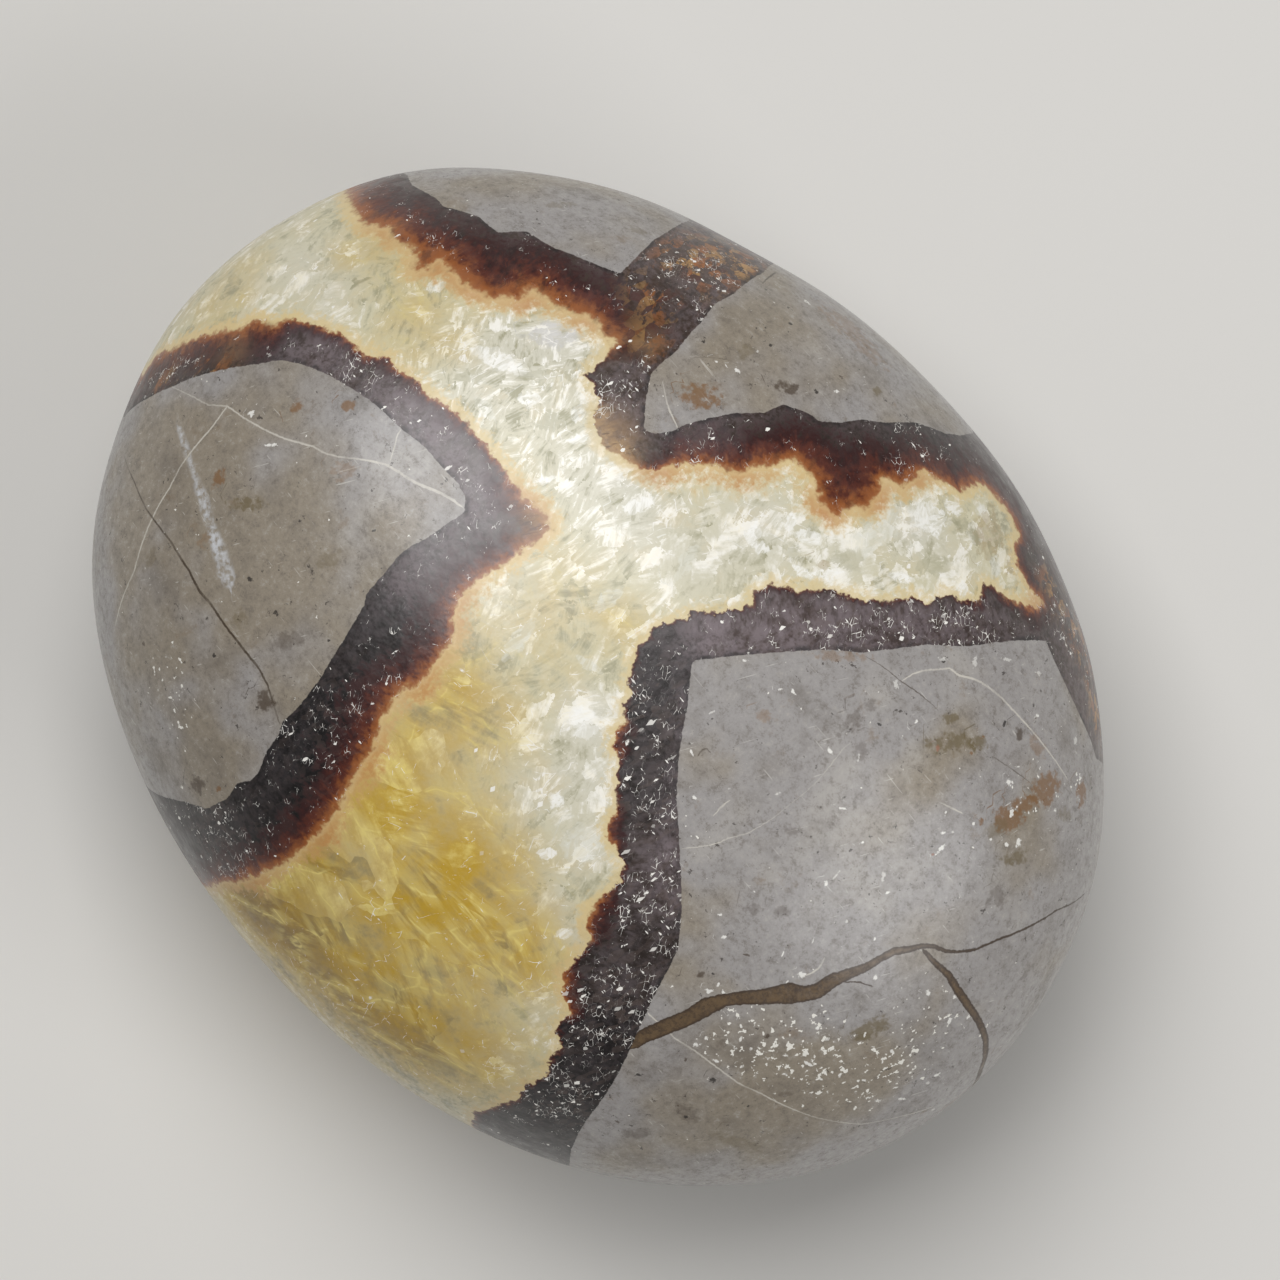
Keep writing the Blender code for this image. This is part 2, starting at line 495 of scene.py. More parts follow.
# Single marks on the mudstone and crystals in the calcite, by tone, in picture pixels:
# each (x, y, half length, half width, degrees up from the picture's right)
marks = {
    "stain": {
        "rust": [
            (219, 477, 9, 6, 70), (298, 405, 8, 5, 60), (350, 405, 6, 5, 0), (703, 396, 17, 13, 10),
            (1050, 791, 20, 13, 20), (1028, 806, 16, 8, 10), (1012, 820, 16, 11, 0), (1086, 795, 9, 12, 0),
        ],
        "rustFaint": [
            (204, 540, 8, 6, 20), (345, 470, 12, 8, 0), (855, 335, 40, 20, -45), (1042, 746, 12, 7, -60),
            (767, 717, 8, 6, 0), (845, 657, 26, 5, -5),
        ],
        "olive": [
            (246, 503, 17, 6, 0), (878, 392, 7, 4, 40), (956, 745, 22, 10, 5), (985, 744, 10, 7, -10),
            (956, 719, 8, 5, 0), (1019, 858, 16, 8, 0), (871, 1028, 19, 9, 25),
        ],
        "oliveFaint": [
            (330, 560, 12, 8, 30), (150, 560, 12, 7, 60), (240, 620, 10, 7, 70), (748, 352, 9, 6, 45),
            (560, 205, 14, 6, 0), (640, 232, 10, 5, -20), (1000, 830, 12, 7, 20), (1070, 816, 9, 7, 0),
            (740, 1140, 24, 8, -20),
        ],
        "umber": [
            (200, 786, 12, 8, 40), (267, 702, 9, 9, 0), (787, 388, 12, 7, -10), (1025, 735, 5, 6, 0),
            (702, 973, 5, 3, 20),
        ],
        "umberFaint": [
            (290, 640, 14, 7, 10), (858, 722, 8, 9, 0), (872, 707, 9, 6, 0), (865, 751, 6, 9, 0),
            (793, 832, 6, 5, 0), (756, 909, 8, 5, 0), (784, 911, 8, 5, 0), (1000, 900, 12, 8, -30),
            (1079, 810, 6, 3, 0), (1027, 974, 6, 4, 45), (690, 1110, 14, 8, -40), (640, 1130, 12, 7, 0),
            (724, 1041, 5, 4, 0), (786, 1092, 6, 4, 0),
        ],
    },
    "nick": {
        "pit": [
            (251, 579, 4, 3.5, 0), (276, 613, 4.5, 3.5, 30), (182, 616, 4, 3, 0), (126, 582, 3, 4, 0),
            (330, 640, 2.5, 2, 0), (215, 655, 2.5, 2.5, 0), (300, 520, 2.2, 2, 0), (375, 530, 2.2, 2.2, 0),
            (768, 291, 3.2, 2.6, 0), (767, 328, 3, 2.6, 0), (773, 346, 4, 2.2, 0), (792, 325, 2.6, 2.6, 0),
            (705, 343, 2.4, 2, 0), (818, 392, 3.6, 4.2, 0), (883, 725, 3, 2.6, 0), (948, 662, 2.6, 2.2, 0),
            (1009, 725, 4.2, 2.2, 70), (715, 972, 1.8, 1.8, 0), (642, 1072, 5.5, 2.4, 5),
            (714, 1077, 3.8, 4.6, 0), (750, 1103, 2.8, 1.9, 0), (688, 1114, 2.8, 2.6, 0),
        ],
        "umber": [
            (144, 644, 4, 4, 0), (843, 378, 3.2, 2.4, 0), (749, 954, 4.2, 1.5, -15),
            (681, 1102, 3.2, 2.6, 0), (688, 1057, 2.8, 2.6, 0), (620, 1119, 4.2, 1.9, -30),
            (768, 1034, 3, 3, 0),
        ],
        "umberFaint": [
            (842, 736, 3, 3, 0), (836, 825, 3, 2.6, 0), (1000, 669, 2.6, 4.6, 0), (1027, 671, 2.6, 4.6, 0),
        ],
        "rust": [
            (220, 789, 5, 3, 20), (987, 738, 3, 3, 0), (975, 754, 3, 2.4, 0), (984, 823, 4, 4, 0),
        ],
        "red": [(936, 855, 3, 1.8, 60), (942, 749, 3.2, 3.6, 0)],
        "white": [
            (252, 413, 4.5, 3.5, 30), (272, 444, 8, 2.2, 0), (809, 304, 3.2, 5.5, 10),
            (739, 371, 3, 4.6, 10), (718, 362, 2.4, 3, 0), (838, 392, 4, 2.4, 0), (833, 752, 3, 4.4, 20),
            (797, 693, 4.6, 2.2, -60), (784, 690, 3.6, 1.7, 10), (748, 661, 3.8, 1.5, 5),
            (845, 809, 5, 1.6, -5), (694, 752, 4, 1.9, -70), (697, 798, 4, 2, -40),
            (1042, 717, 3.6, 2.4, 30), (1085, 780, 6.8, 3.4, 85), (1014, 784, 4.2, 4.2, 0),
            (1022, 843, 4.4, 5.8, 0), (1016, 815, 3.8, 5.2, 0), (1059, 812, 3.6, 3, 0),
            (944, 850, 8.5, 3, 45), (946, 834, 3.6, 1.8, 0), (949, 815, 3, 1.4, 80),
            (921, 722, 3.2, 1.8, 60), (1022, 768, 5, 1.5, 5), (1045, 770, 2, 2.8, 0), (977, 825, 2, 2, 0),
            (1010, 846, 3.2, 2, 0), (994, 841, 2.2, 2.2, 0), (828, 885, 3.2, 4.5, 0),
            (864, 844, 3.2, 1.5, 30), (877, 976, 3, 4, 0), (803, 974, 5, 4.4, 0), (789, 981, 3.2, 1.5, 80),
            (785, 952, 6, 1, 70), (726, 936, 3.2, 1.9, 30), (721, 914, 2.6, 1.6, 0), (756, 892, 1.5, 2, 0),
            (711, 989, 4.5, 3.5, 0), (726, 992, 5, 1.7, -60), (720, 983, 3, 1.5, 70),
            (890, 893, 3.2, 1.5, 20), (877, 938, 3.2, 1.5, 70), (699, 1042, 4.5, 3, 10),
            (709, 1036, 3.2, 2.5, 0), (730, 1013, 3.6, 1.8, -15), (737, 1045, 3.3, 3, 0),
            (743, 1036, 4.6, 1.6, 60), (755, 1046, 5, 2.5, 15), (743, 1024, 2.8, 1.6, -40),
            (787, 1053, 3.6, 2, 0), (769, 1056, 6, 2.4, -10), (744, 1064, 2.6, 2.2, 0),
            (717, 1058, 4.6, 2, -20), (786, 1072, 3.6, 1.8, -20), (930, 992, 4, 3.2, 30),
            (956, 996, 3, 2.5, 0), (970, 1015, 5, 2.8, 60), (951, 1020, 3.3, 4, 0),
            (983, 1030, 4.2, 2.8, 60), (895, 1007, 2, 2, 0), (819, 1027, 2.6, 2.4, 0),
            (829, 1037, 2.2, 2.2, 0), (836, 1040, 3, 2, 0), (866, 1033, 3.2, 1.6, 80),
            (874, 1045, 2.6, 1.6, 0), (893, 1050, 3.6, 2.2, -60), (938, 1073, 5, 2.5, 15),
            (865, 1078, 4.5, 1.8, -10), (880, 1099, 5, 2.4, -15), (869, 1096, 4, 2.2, 10),
            (902, 1097, 6, 2, 0), (810, 1062, 7, 2.4, -35), (896, 1086, 4.2, 1.6, 15),
            (841, 1074, 3.6, 2, 80), (822, 1077, 6, 1.6, -10),
        ],
        "whiteFaint": [
            (759, 352, 1.8, 1.8, 0), (866, 378, 2.6, 1.8, 0), (715, 713, 3.6, 1.4, 25),
            (731, 789, 3, 1.4, 10), (862, 758, 5, 1.3, 80), (781, 794, 3.2, 1.4, 20), (901, 685, 4, 5, 0),
            (946, 659, 8, 2.6, 0), (980, 662, 7.5, 3.4, 80), (1013, 660, 9, 2, -10), (1044, 674, 4, 3, 0),
            (1081, 742, 5, 5.6, 0), (956, 833, 4, 1.2, 5), (838, 876, 6, 1.4, 50), (815, 939, 4, 1, 70),
            (886, 876, 6, 2.6, 80), (849, 921, 2.2, 2, 0), (929, 1081, 2.6, 2.6, 0), (934, 1108, 3, 2, 0),
        ],
    },
    "crystal": {
        "chalk": [
            (755, 532, 13, 8, 70), (763, 547, 10, 7, -20), (793, 524, 12, 7, 80), (812, 537, 17, 8, -15),
            (932, 519, 25, 19, 25), (956, 507, 14, 13, 60), (967, 589, 10, 7, 80), (830, 574, 22, 7, 8),
            (805, 571, 10, 5, -30), (906, 578, 15, 6, -10), (500, 360, 34, 10, -25), (531, 399, 11, 10, 0),
            (543, 481, 16, 5, 15), (580, 414, 11, 7, 80), (580, 439, 12, 5, 10), (437, 286, 11, 8, 20),
            (583, 717, 15, 11, 15), (588, 732, 13, 7, 20), (559, 800, 9, 8, 60), (550, 853, 11, 7, 0),
            (567, 932, 9, 6, 20), (640, 505, 22, 8, 20),
        ],
        "frost": [
            (722, 482, 12, 10, 80), (870, 540, 25, 15, 82), (892, 524, 18, 13, 70), (985, 510, 12, 8, 40),
            (1000, 565, 15, 10, 80), (487, 408, 18, 6, -50), (590, 664, 16, 5, -35), (584, 845, 22, 20, 0),
            (520, 640, 26, 9, 50), (690, 560, 22, 8, 60), (610, 600, 18, 8, 40),
        ],
        "lilac": [(557, 335, 30, 17, 0)],
        "moss": [
            (794, 550, 11, 11, 0), (748, 556, 7, 4, 80), (850, 560, 20, 12, 0), (940, 565, 22, 12, 10),
            (554, 378, 28, 14, 5), (476, 375, 22, 9, 10), (552, 420, 20, 11, 10),
        ],
        "clay": [(827, 565, 8, 5, 0), (994, 535, 34, 22, 80), (1020, 560, 22, 14, 60)],
    },
}
# How far past its half length a mark is measured, how ragged and soft its rim is, and how angular its form
markForms = {
    "stain": {"reachMm": 0.9, "ragged": 9.0, "soft": 0.9, "angular": 0.0},
    "nick": {"reachMm": 0.45, "ragged": 4.5, "soft": 0.35, "angular": 0.0},
    "crystal": {"reachMm": 0.7, "ragged": 7.5, "soft": 0.3, "angular": 0.6},
}
# Each tone's colour and strength
markTones = {
    "rust": ((122, 88, 52), 0.8),
    "rustFaint": ((128, 96, 60), 0.4),
    "olive": ((100, 86, 54), 0.7),
    "oliveFaint": ((100, 86, 54), 0.38),
    "red": ((150, 96, 74), 0.6),
    "umber": ((66, 50, 34), 0.75),
    "umberFaint": ((66, 50, 34), 0.38),
    "pit": ((34, 28, 24), 0.85),
    "white": ((236, 234, 228), 0.85),
    "whiteFaint": ((236, 234, 228), 0.5),
    "chalk": ((246, 245, 240), 0.9),
    "frost": ((218, 217, 204), 0.75),
    "lilac": ((198, 196, 194), 0.8),
    "moss": ((164, 161, 132), 0.6),
    "clay": ((158, 138, 98), 0.7),
}


def markSpots(kind):
    return [(*spot, tone) for tone, group in marks[kind].items() for spot in group]


def selectNone():
    bpy.ops.object.select_all(action="DESELECT")


def unitDirections(mesh):
    flat = np.empty(len(mesh.vertices) * 3)
    mesh.vertices.foreach_get("co", flat)
    directions = flat.reshape(-1, 3)
    return directions / np.linalg.norm(directions, axis=1)[:, None]


def moveVertices(mesh, places):
    mesh.vertices.foreach_set("co", places.astype(np.float32).ravel())
    mesh.update()


def addBall(name, splits):
    # A ball of even triangles, whose vertices are the stone's directions until it takes its form
    selectNone()
    bpy.ops.mesh.primitive_ico_sphere_add(subdivisions=splits, radius=1.0)
    ball = bpy.context.active_object
    ball.name = ball.data.name = name
    return ball


def splitNear(ball, reachMm, lines):
    # Splits the faces that lie near any of the lines
    tree = treeOf(np.concatenate(lines))
    near = np.array([tree.find(place)[2] < reachMm for place in placesOn(unitDirections(ball.data))])
    corners = np.empty(len(ball.data.polygons) * 3, int)
    ball.data.polygons.foreach_get("vertices", corners)
    chosen = near[corners.reshape(-1, 3)].any(axis=1)
    ball.data.vertices.foreach_set("select", np.zeros(len(near), bool))
    ball.data.edges.foreach_set("select", np.zeros(len(ball.data.edges), bool))
    ball.data.polygons.foreach_set("select", chosen)
    bpy.context.tool_settings.mesh_select_mode = (False, False, True)
    bpy.ops.object.mode_set(mode="EDIT")
    bpy.ops.mesh.subdivide(number_cuts=1)
    bpy.ops.mesh.quads_convert_to_tris()
    bpy.ops.object.mode_set(mode="OBJECT")


def addValues(name, values):
    # One number or one vector for each of the stone's vertices, which its material reads by name
    kind, part = ("FLOAT", "value") if values.ndim == 1 else ("FLOAT_VECTOR", "vector")
    layer = stone.data.attributes.new(name, kind, "POINT")
    layer.data.foreach_set(part, values.astype(np.float32).ravel())


def measureRegions(directions, places, regions):
    # The least signed distance to any of the regions, and the nearest point of that region's outline
    gap, root = None, None
    for region in regions.values():
        otherGap, otherRoot = regionGap(directions, places, region)
        if gap is None:
            gap, root = otherGap, otherRoot
        nearer = otherGap < gap
        gap = np.where(nearer, otherGap, gap)
        root = np.where(nearer[:, None], otherRoot, root)
    return gap, root


def fanned(places, root):
    # The nearest wall point pushed towards the place, so that patterns fan out round a wall's corners
    away = places - root
    length = np.maximum(np.linalg.norm(away, axis=1), 1e-6)[:, None]
    return root + away / length * np.minimum(length, tracing["fanMm"])


def measureCracks(places, lines):
    # Signed distance to the nearest of the lines, and its half width there, which runs out past its ends
    gap = np.full(len(places), tracing["farMm"])
    half = np.full(len(places), -1.0)
    for points in lines:
        line, widths, _ = traced({"top": points}, False)
        found, point, side, step = nearestOnLine(places, line, False)
        width = np.interp(step, np.arange(len(widths)), widths) * pixelMm
        ends = np.minimum(np.linalg.norm(places - line[0], axis=1), np.linalg.norm(places - line[-1], axis=1))
        past = (np.abs(ends - found) < 1e-4) & (found > 0.05)
        width = np.where(past, width - found * tracing["taper"], width)
        near = found < np.abs(gap)
        gap = np.where(near, found * side, gap)
        half = np.where(near, width, half)
    return gap, half


stone = addBall("polished_nodule", pebble["coarseSplits"])
regions = [*blocks.values(), *linings.values()]
fineLines = [traced(outlineOf(region), True)[0] for region in regions]
fineLines += [traced({"top": points}, False)[0] for lines in crackSets.values() for points in lines]
fineLines += [np.array([spotCentre(spot[0], spot[1]) for spot in markSpots("nick")])]
splitNear(stone, pebble["fineReachMm"], fineLines)
directions = unitDirections(stone.data)
places = placesOn(directions)
print("stone:", len(stone.data.vertices), "vertices", len(stone.data.polygons), "faces")

for edgeName, edgeRegions in {"wall": blocks, "fill": linings}.items():
    gap, root = measureRegions(directions, places, edgeRegions)
    addValues(edgeName + "Gap", gap)
    addValues(edgeName + "Root", fanned(places, root))
for crackName, lines in crackSets.items():
    gap, half = measureCracks(places, lines)
    addValues(crackName, np.stack((gap, half, np.zeros(len(gap))), axis=1))
print("walls and cracks measured")

moveVertices(stone.data, places / 1000.0)
bpy.ops.object.shade_smooth()


# Soft patches by what they carry and the side they are on, each (x, y, radius, strength), in picture pixels
patches = {
    "honey": {
        "top": [
            (300, 930, 110, 0.95), (430, 900, 80, 0.95), (400, 800, 55, 0.8), (520, 950, 55, 0.8),
            (400, 1020, 90, 0.95), (480, 720, 50, 0.55), (250, 900, 60, 0.9), (480, 1050, 60, 0.6),
            (420, 320, 45, 0.35), (380, 245, 50, 0.4), (230, 290, 50, 0.35), (545, 610, 45, 0.3),
            (450, 640, 40, 0.5), (470, 860, 60, 0.8), (620, 620, 25, 0.4), (445, 695, 35, 0.55),
            (405, 745, 42, 0.75), (365, 805, 42, 0.8), (320, 860, 42, 0.8),
        ],
        "under": [
            (330, 950, 110, 0.9), (430, 1030, 90, 0.9), (400, 900, 120, 0.7), (240, 915, 90, 0.9),
            (310, 985, 90, 0.9), (400, 1060, 90, 0.9), (250, 300, 90, 0.35), (880, 760, 60, 0.6),
            (560, 450, 120, 0.5),
        ],
    },
    "white": {
        "top": [
            (520, 350, 50, 0.8), (575, 345, 45, 0.8), (560, 420, 55, 0.5), (475, 395, 50, 0.6),
            (640, 510, 50, 0.8), (700, 565, 50, 0.6), (765, 530, 50, 0.9), (850, 555, 45, 0.6),
            (915, 525, 40, 1), (960, 565, 40, 0.5), (592, 722, 35, 1), (600, 780, 35, 0.7),
            (590, 850, 30, 0.8), (300, 262, 50, 0.6), (335, 300, 40, 0.5), (560, 790, 45, 0.55),
            (500, 1060, 30, 0.5), (590, 480, 45, 0.6), (500, 590, 40, 0.5), (560, 900, 30, 0.5),
            (250, 340, 30, 0.4), (290, 955, 14, 0.6), (575, 935, 16, 0.7), (520, 800, 30, 0.4),
            (540, 1000, 26, 0.5), (596, 402, 13, 0.9), (599, 438, 13, 0.9), (628, 480, 13, 0.8),
        ],
    },
    # Shade: darker grey-green calcite, and painted shade along the lower-left rim where the light falls off
    "darkCrystalAndShade": {
        "top": [
            (500, 440, 45, 0.4), (545, 395, 40, 0.55), (430, 350, 35, 0.35), (320, 310, 35, 0.5),
            (700, 520, 35, 0.45), (800, 560, 40, 0.6), (880, 575, 35, 0.5), (980, 545, 45, 0.6),
            (510, 615, 40, 0.45), (460, 690, 30, 0.5), (210, 320, 40, 0.5), (600, 640, 35, 0.35),
            (530, 760, 30, 0.25), (300, 960, 60, 0.6), (430, 1060, 50, 0.5), (248, 892, 42, 0.85),
            (290, 868, 35, 0.5), (352, 1020, 50, 0.55), (500, 1090, 40, 0.4),
        ],
    },
    "blades": {
        "top": [
            (470, 380, 75, 0.9), (540, 400, 75, 0.95), (565, 335, 50, 0.9), (560, 470, 50, 0.8),
            (500, 330, 60, 0.85), (400, 320, 60, 0.6), (620, 500, 50, 0.5),
        ],
    },
    "blocks": {
        "top": [
            (760, 530, 60, 0.8), (840, 550, 60, 0.8), (920, 540, 60, 0.95), (980, 550, 50, 0.85),
            (300, 285, 55, 0.55), (592, 722, 45, 0.8), (600, 850, 40, 0.5), (690, 550, 40, 0.4),
        ],
    },
    # Haze: milky crystal domains of the linings, partly painted sheen where the lamp's reflection falls on
    # the dome
    "hazeAndSheen": {
        "top": [
            (440, 440, 45, 0.85), (490, 495, 38, 0.95), (400, 400, 38, 0.75), (340, 345, 38, 0.75),
            (285, 340, 32, 0.45), (440, 555, 36, 0.5), (400, 588, 26, 0.5), (715, 635, 34, 1),
            (780, 628, 40, 0.8), (850, 628, 40, 0.6), (920, 625, 40, 0.6), (985, 622, 40, 0.3),
            (600, 345, 20, 0.4), (660, 870, 25, 0.4), (705, 440, 34, 0.4), (610, 300, 26, 0.25),
            (688, 700, 11, 0.6), (684, 735, 12, 0.6), (680, 775, 12, 0.7), (679, 810, 14, 0.7),
            (677, 850, 18, 0.7), (676, 900, 18, 0.6),
        ],
    },
    "glints": {
        "top": [
            (650, 700, 45, 0.9), (650, 800, 45, 0.9), (655, 900, 45, 0.8), (620, 1000, 60, 1),
            (560, 1090, 60, 1), (220, 830, 60, 0.7), (330, 730, 60, 0.5), (850, 625, 70, 0.6),
            (960, 620, 60, 0.7), (370, 385, 50, 0.6), (700, 440, 40, 0.5), (700, 270, 50, 0.8),
            (170, 385, 40, 0.8), (620, 400, 40, 0.8), (470, 500, 40, 0.5), (930, 450, 50, 0.3),
            (420, 230, 40, 0.3), (1060, 620, 40, 0.6),
        ],
    },
    "mottled": {
        "top": [
            (690, 265, 34, 0.9), (735, 262, 40, 1), (655, 300, 26, 0.6), (1084, 640, 26, 1),
            (1096, 680, 24, 1), (1102, 720, 22, 0.9), (1058, 590, 24, 0.9), (215, 365, 22, 0.6),
            (160, 390, 30, 0.5), (650, 340, 22, 0.5),
        ],
    },
    "blush": {
        "top": [
            (660, 482, 24, 0.9), (700, 492, 24, 0.9), (745, 492, 26, 0.9), (785, 498, 26, 0.9),
            (830, 512, 24, 0.9), (880, 500, 26, 0.8), (920, 478, 26, 0.7), (520, 515, 30, 0.9),
            (440, 265, 30, 0.8), (480, 285, 28, 0.9), (530, 305, 26, 0.8), (390, 230, 30, 0.6),
            (585, 325, 22, 0.7), (468, 608, 28, 0.6), (430, 692, 30, 0.7), (384, 770, 32, 0.8),
            (336, 842, 28, 0.75), (270, 896, 26, 0.7), (1045, 610, 22, 0.8),
        ],
    },
    "earthy": {
        "top": [
            (270, 580, 170, 0.8), (230, 430, 110, 0.5), (190, 720, 110, 0.7), (520, 190, 90, 0.45),
            (770, 340, 110, 0.45), (800, 1090, 130, 0.6), (1020, 830, 60, 0.6), (960, 740, 40, 0.6),
            (720, 1120, 90, 0.6),
        ],
        "under": [(700, 500, 300, 0.35)],
    },
    "clearTan": {
        "top": [
            (596, 412, 12, 0.9), (612, 430, 22, 1), (626, 446, 18, 0.95), (600, 446, 12, 0.8),
            (630, 466, 10, 0.7), (604, 345, 18, 0.35), (235, 352, 18, 0.5), (1083, 622, 12, 1),
            (650, 345, 16, 0.5), (540, 520, 26, 0.6),
        ],
    },
    "pale": {
        "top": [
            (870, 830, 90, 0.8), (890, 770, 60, 0.6), (860, 900, 60, 0.5), (960, 660, 50, 0.7),
            (1000, 900, 60, 0.4), (400, 470, 45, 0.7), (340, 500, 60, 0.4), (300, 680, 50, 0.3),
            (750, 850, 50, 0.5), (770, 300, 50, 0.4), (620, 230, 40, 0.4), (880, 700, 50, 0.4),
        ],
    },
    "specks": {
        "top": [
            (700, 1040, 10, 1), (738, 1018, 17, 0.9), (822, 1030, 17, 0.8), (955, 1018, 17, 0.8),
            (985, 1030, 12, 0.8), (1015, 795, 18, 0.7), (700, 840, 14, 0.7), (168, 680, 38, 0.8),
            (185, 725, 26, 0.7), (750, 1045, 42, 0.9), (830, 1065, 50, 1), (905, 1060, 42, 0.9),
            (1040, 795, 34, 0.55), (1065, 850, 34, 0.35), (930, 1000, 36, 0.5), (1080, 780, 18, 0.6),
            (790, 1030, 40, 0.7), (860, 1100, 26, 0.6),
        ],
    },
}
# Of the linings, each (x, y, value): how far in millimetres the orange and red reach in from the calcite,
# and how brown the deep part is, from near black to brown
spreads = {
    "reach": {
        "top": [
            (380, 205, 5.4), (450, 250, 5.4), (520, 280, 5.2), (590, 300, 4.8), (640, 322, 3.4),
            (700, 265, 3.5), (740, 265, 3.5), (600, 380, 0.5), (605, 430, 0.35), (640, 466, 1.2),
            (700, 455, 3), (770, 455, 3.2), (820, 490, 3.8), (850, 490, 4.8), (880, 480, 3.6),
            (930, 460, 3), (1000, 500, 3.2), (1040, 590, 1.8), (1085, 680, 1.6), (985, 600, 0.6),
            (950, 605, 0.3), (850, 605, 0.35), (765, 592, 0.6), (720, 615, 0.25), (650, 645, 0.3),
            (630, 700, 0.3), (622, 740, 1.3), (622, 775, 0.3), (608, 835, 1.2), (620, 868, 0.3),
            (597, 918, 1.8), (580, 950, 0.4), (572, 990, 1.5), (560, 1035, 0.3), (550, 1080, 0.25),
            (490, 1105, 0.6), (160, 365, 3.2), (200, 345, 3.2), (250, 335, 3.2), (320, 335, 1.1),
            (400, 385, 1.1), (470, 445, 1.1), (520, 510, 2.6), (460, 590, 2.8), (430, 660, 3),
            (370, 730, 3.6), (330, 800, 3.2), (260, 855, 2.8), (190, 870, 2.2),
        ],
        "under": [(300, 600, 1.8), (600, 600, 1.6), (800, 700, 2)],
    },
    "brown": {
        "top": [
            (380, 200, 0.5), (430, 230, 0.65), (500, 255, 0.75), (580, 280, 0.8), (640, 300, 0.6),
            (700, 265, 0.9), (740, 262, 0.8), (620, 350, 0.7), (620, 425, 1), (660, 450, 0.5),
            (740, 440, 0.6), (820, 440, 0.45), (860, 450, 0.45), (930, 455, 0.2), (1000, 480, 0.45),
            (1060, 620, 0.6), (1090, 700, 0.9), (980, 625, 0.55), (880, 625, 0.6), (760, 635, 0.8),
            (660, 680, 0.1), (655, 780, 0.15), (660, 870, 0.5), (640, 950, 0.3), (600, 1050, 0.05),
            (540, 1110, 0), (170, 385, 0.4), (250, 350, 0.4), (340, 350, 0.7), (440, 440, 0.8),
            (440, 570, 0.4), (390, 630, 0.1), (320, 740, 0), (220, 830, 0.05),
        ],
        "under": [(300, 600, 0.3), (600, 600, 0.4), (800, 700, 0.3)],
    },
}
spreadEase = 0.4            # square millimetres, within which a spot's value holds evenly
# Slow noise over the whole stone: its scale, its seed, and the patches that it is added to with their share
drifts = {
    "warm": {"scale": 0.16, "seed": 3.0, "patch": "earthy", "share": 1.3, "shift": -0.3},
    "broad": {"scale": 0.30, "seed": 11.0, "patch": "pale", "share": 1.4, "shift": 0.0},
}
warpDrift = {"scale": 0.20, "seeds": (21.0, 33.0, 47.0)}
driftForm = {"fade": 0.9, "finer": 2.1, "octaves": 3}
# The attributes that carry these values to the material, three in each
packs = {
    "calciteTone": ("honey", "white", "darkCrystalAndShade"),
    "calciteForm": ("blades", "blocks", "blush"),
    "liningMarks": ("mottled", "clearTan", "glints"),
    "liningTone": ("reach", "brown", "hazeAndSheen"),
    "slowNoise": ("warm", "broad", "specks"),
}


def paint(colour):
    # A screen colour of 0 to 255 as the linear one that a shader takes
    parts = [part / 255.0 for part in colour]
    linear = [part / 12.92 if part <= 0.04045 else ((part + 0.055) / 1.055) ** 2.4 for part in parts]
    return (*linear, 1.0)


def softPatch(places, groups):
    # Overlapping soft spots joined so that they never pass one
    clear = np.ones(len(places))
    for side, spots in groups.items():
        for x, y, radius, strength in spots:
            gap = np.linalg.norm(places - spotCentre(x, y, side), axis=1) / (radius * pixelMm)
            clear *= 1.0 - strength * np.exp(-gap ** 2)
    return 1.0 - clear


def spreadValues(places, groups):
    # Values given at some spots, eased from each to the next
    total, weight = np.zeros(len(places)), np.full(len(places), 1e-12)
    for side, spots in groups.items():
        for x, y, value in spots:
            share = 1.0 / (np.sum((places - spotCentre(x, y, side)) ** 2, axis=1) + spreadEase) ** 2
            total += share * value
            weight += share
    return total / weight


def drift(places, scale, seed):
    # Slow noise at each place, from about -1 to 1
    form = (driftForm["fade"], driftForm["finer"], driftForm["octaves"])
    return np.array([mathutils.noise.fractal(spot, *form) for spot in (places * scale + seed).tolist()])


def clearOf(spot, other, gap):
    return math.hypot(spot[0] - other[0], spot[1] - other[1]) > spot[2] + other[2] + gap


def dealtApart(spots, gap):
    # Marks dealt into layers, within which each is clear of the others by a gap in pixels
    layers = []
    for spot in spots:
        free = [layer for layer in layers if all(clearOf(spot, other, gap) for other in layer)]
        if free:
            free[0].append(spot)
        else:
            layers.append([spot])
    return layers


def measureMarks(places, spots, reachMm):
    # Where each place is in its nearest mark, from -1 to 1 each way, and that mark's strength and colour
    local = np.tile((tracing["farMm"], tracing["farMm"], 0.0), (len(places), 1))
    colours = np.zeros((len(places), 3))
    nearest = np.full(len(places), tracing["farMm"])
    for x, y, half, narrow, angle, tone in spots:
        colour, strength = markTones[tone]
        lean = math.radians(angle)
        middle = spotCentre(x, y)
        stepX, stepY = tracing["leanPixels"] * math.cos(lean), tracing["leanPixels"] * math.sin(lean)
        along = spotCentre(x + stepX, y - stepY) - middle
        along /= np.linalg.norm(along)
        across = spotCentre(x + stepY, y + stepX) - middle
        across -= along * (across @ along)
        across /= np.linalg.norm(across)
        gap = np.linalg.norm(places - middle, axis=1)
        near = np.flatnonzero((gap < nearest) & (gap < max(half, narrow) * pixelMm + reachMm))
        nearest[near] = gap[near]
        offset = places[near] - middle
        local[near] = np.stack((offset @ along / (half * pixelMm), offset @ across / (narrow * pixelMm),
                                np.full(len(near), strength)), axis=1)
        colours[near] = paint(colour)[:3]
    return local, colours


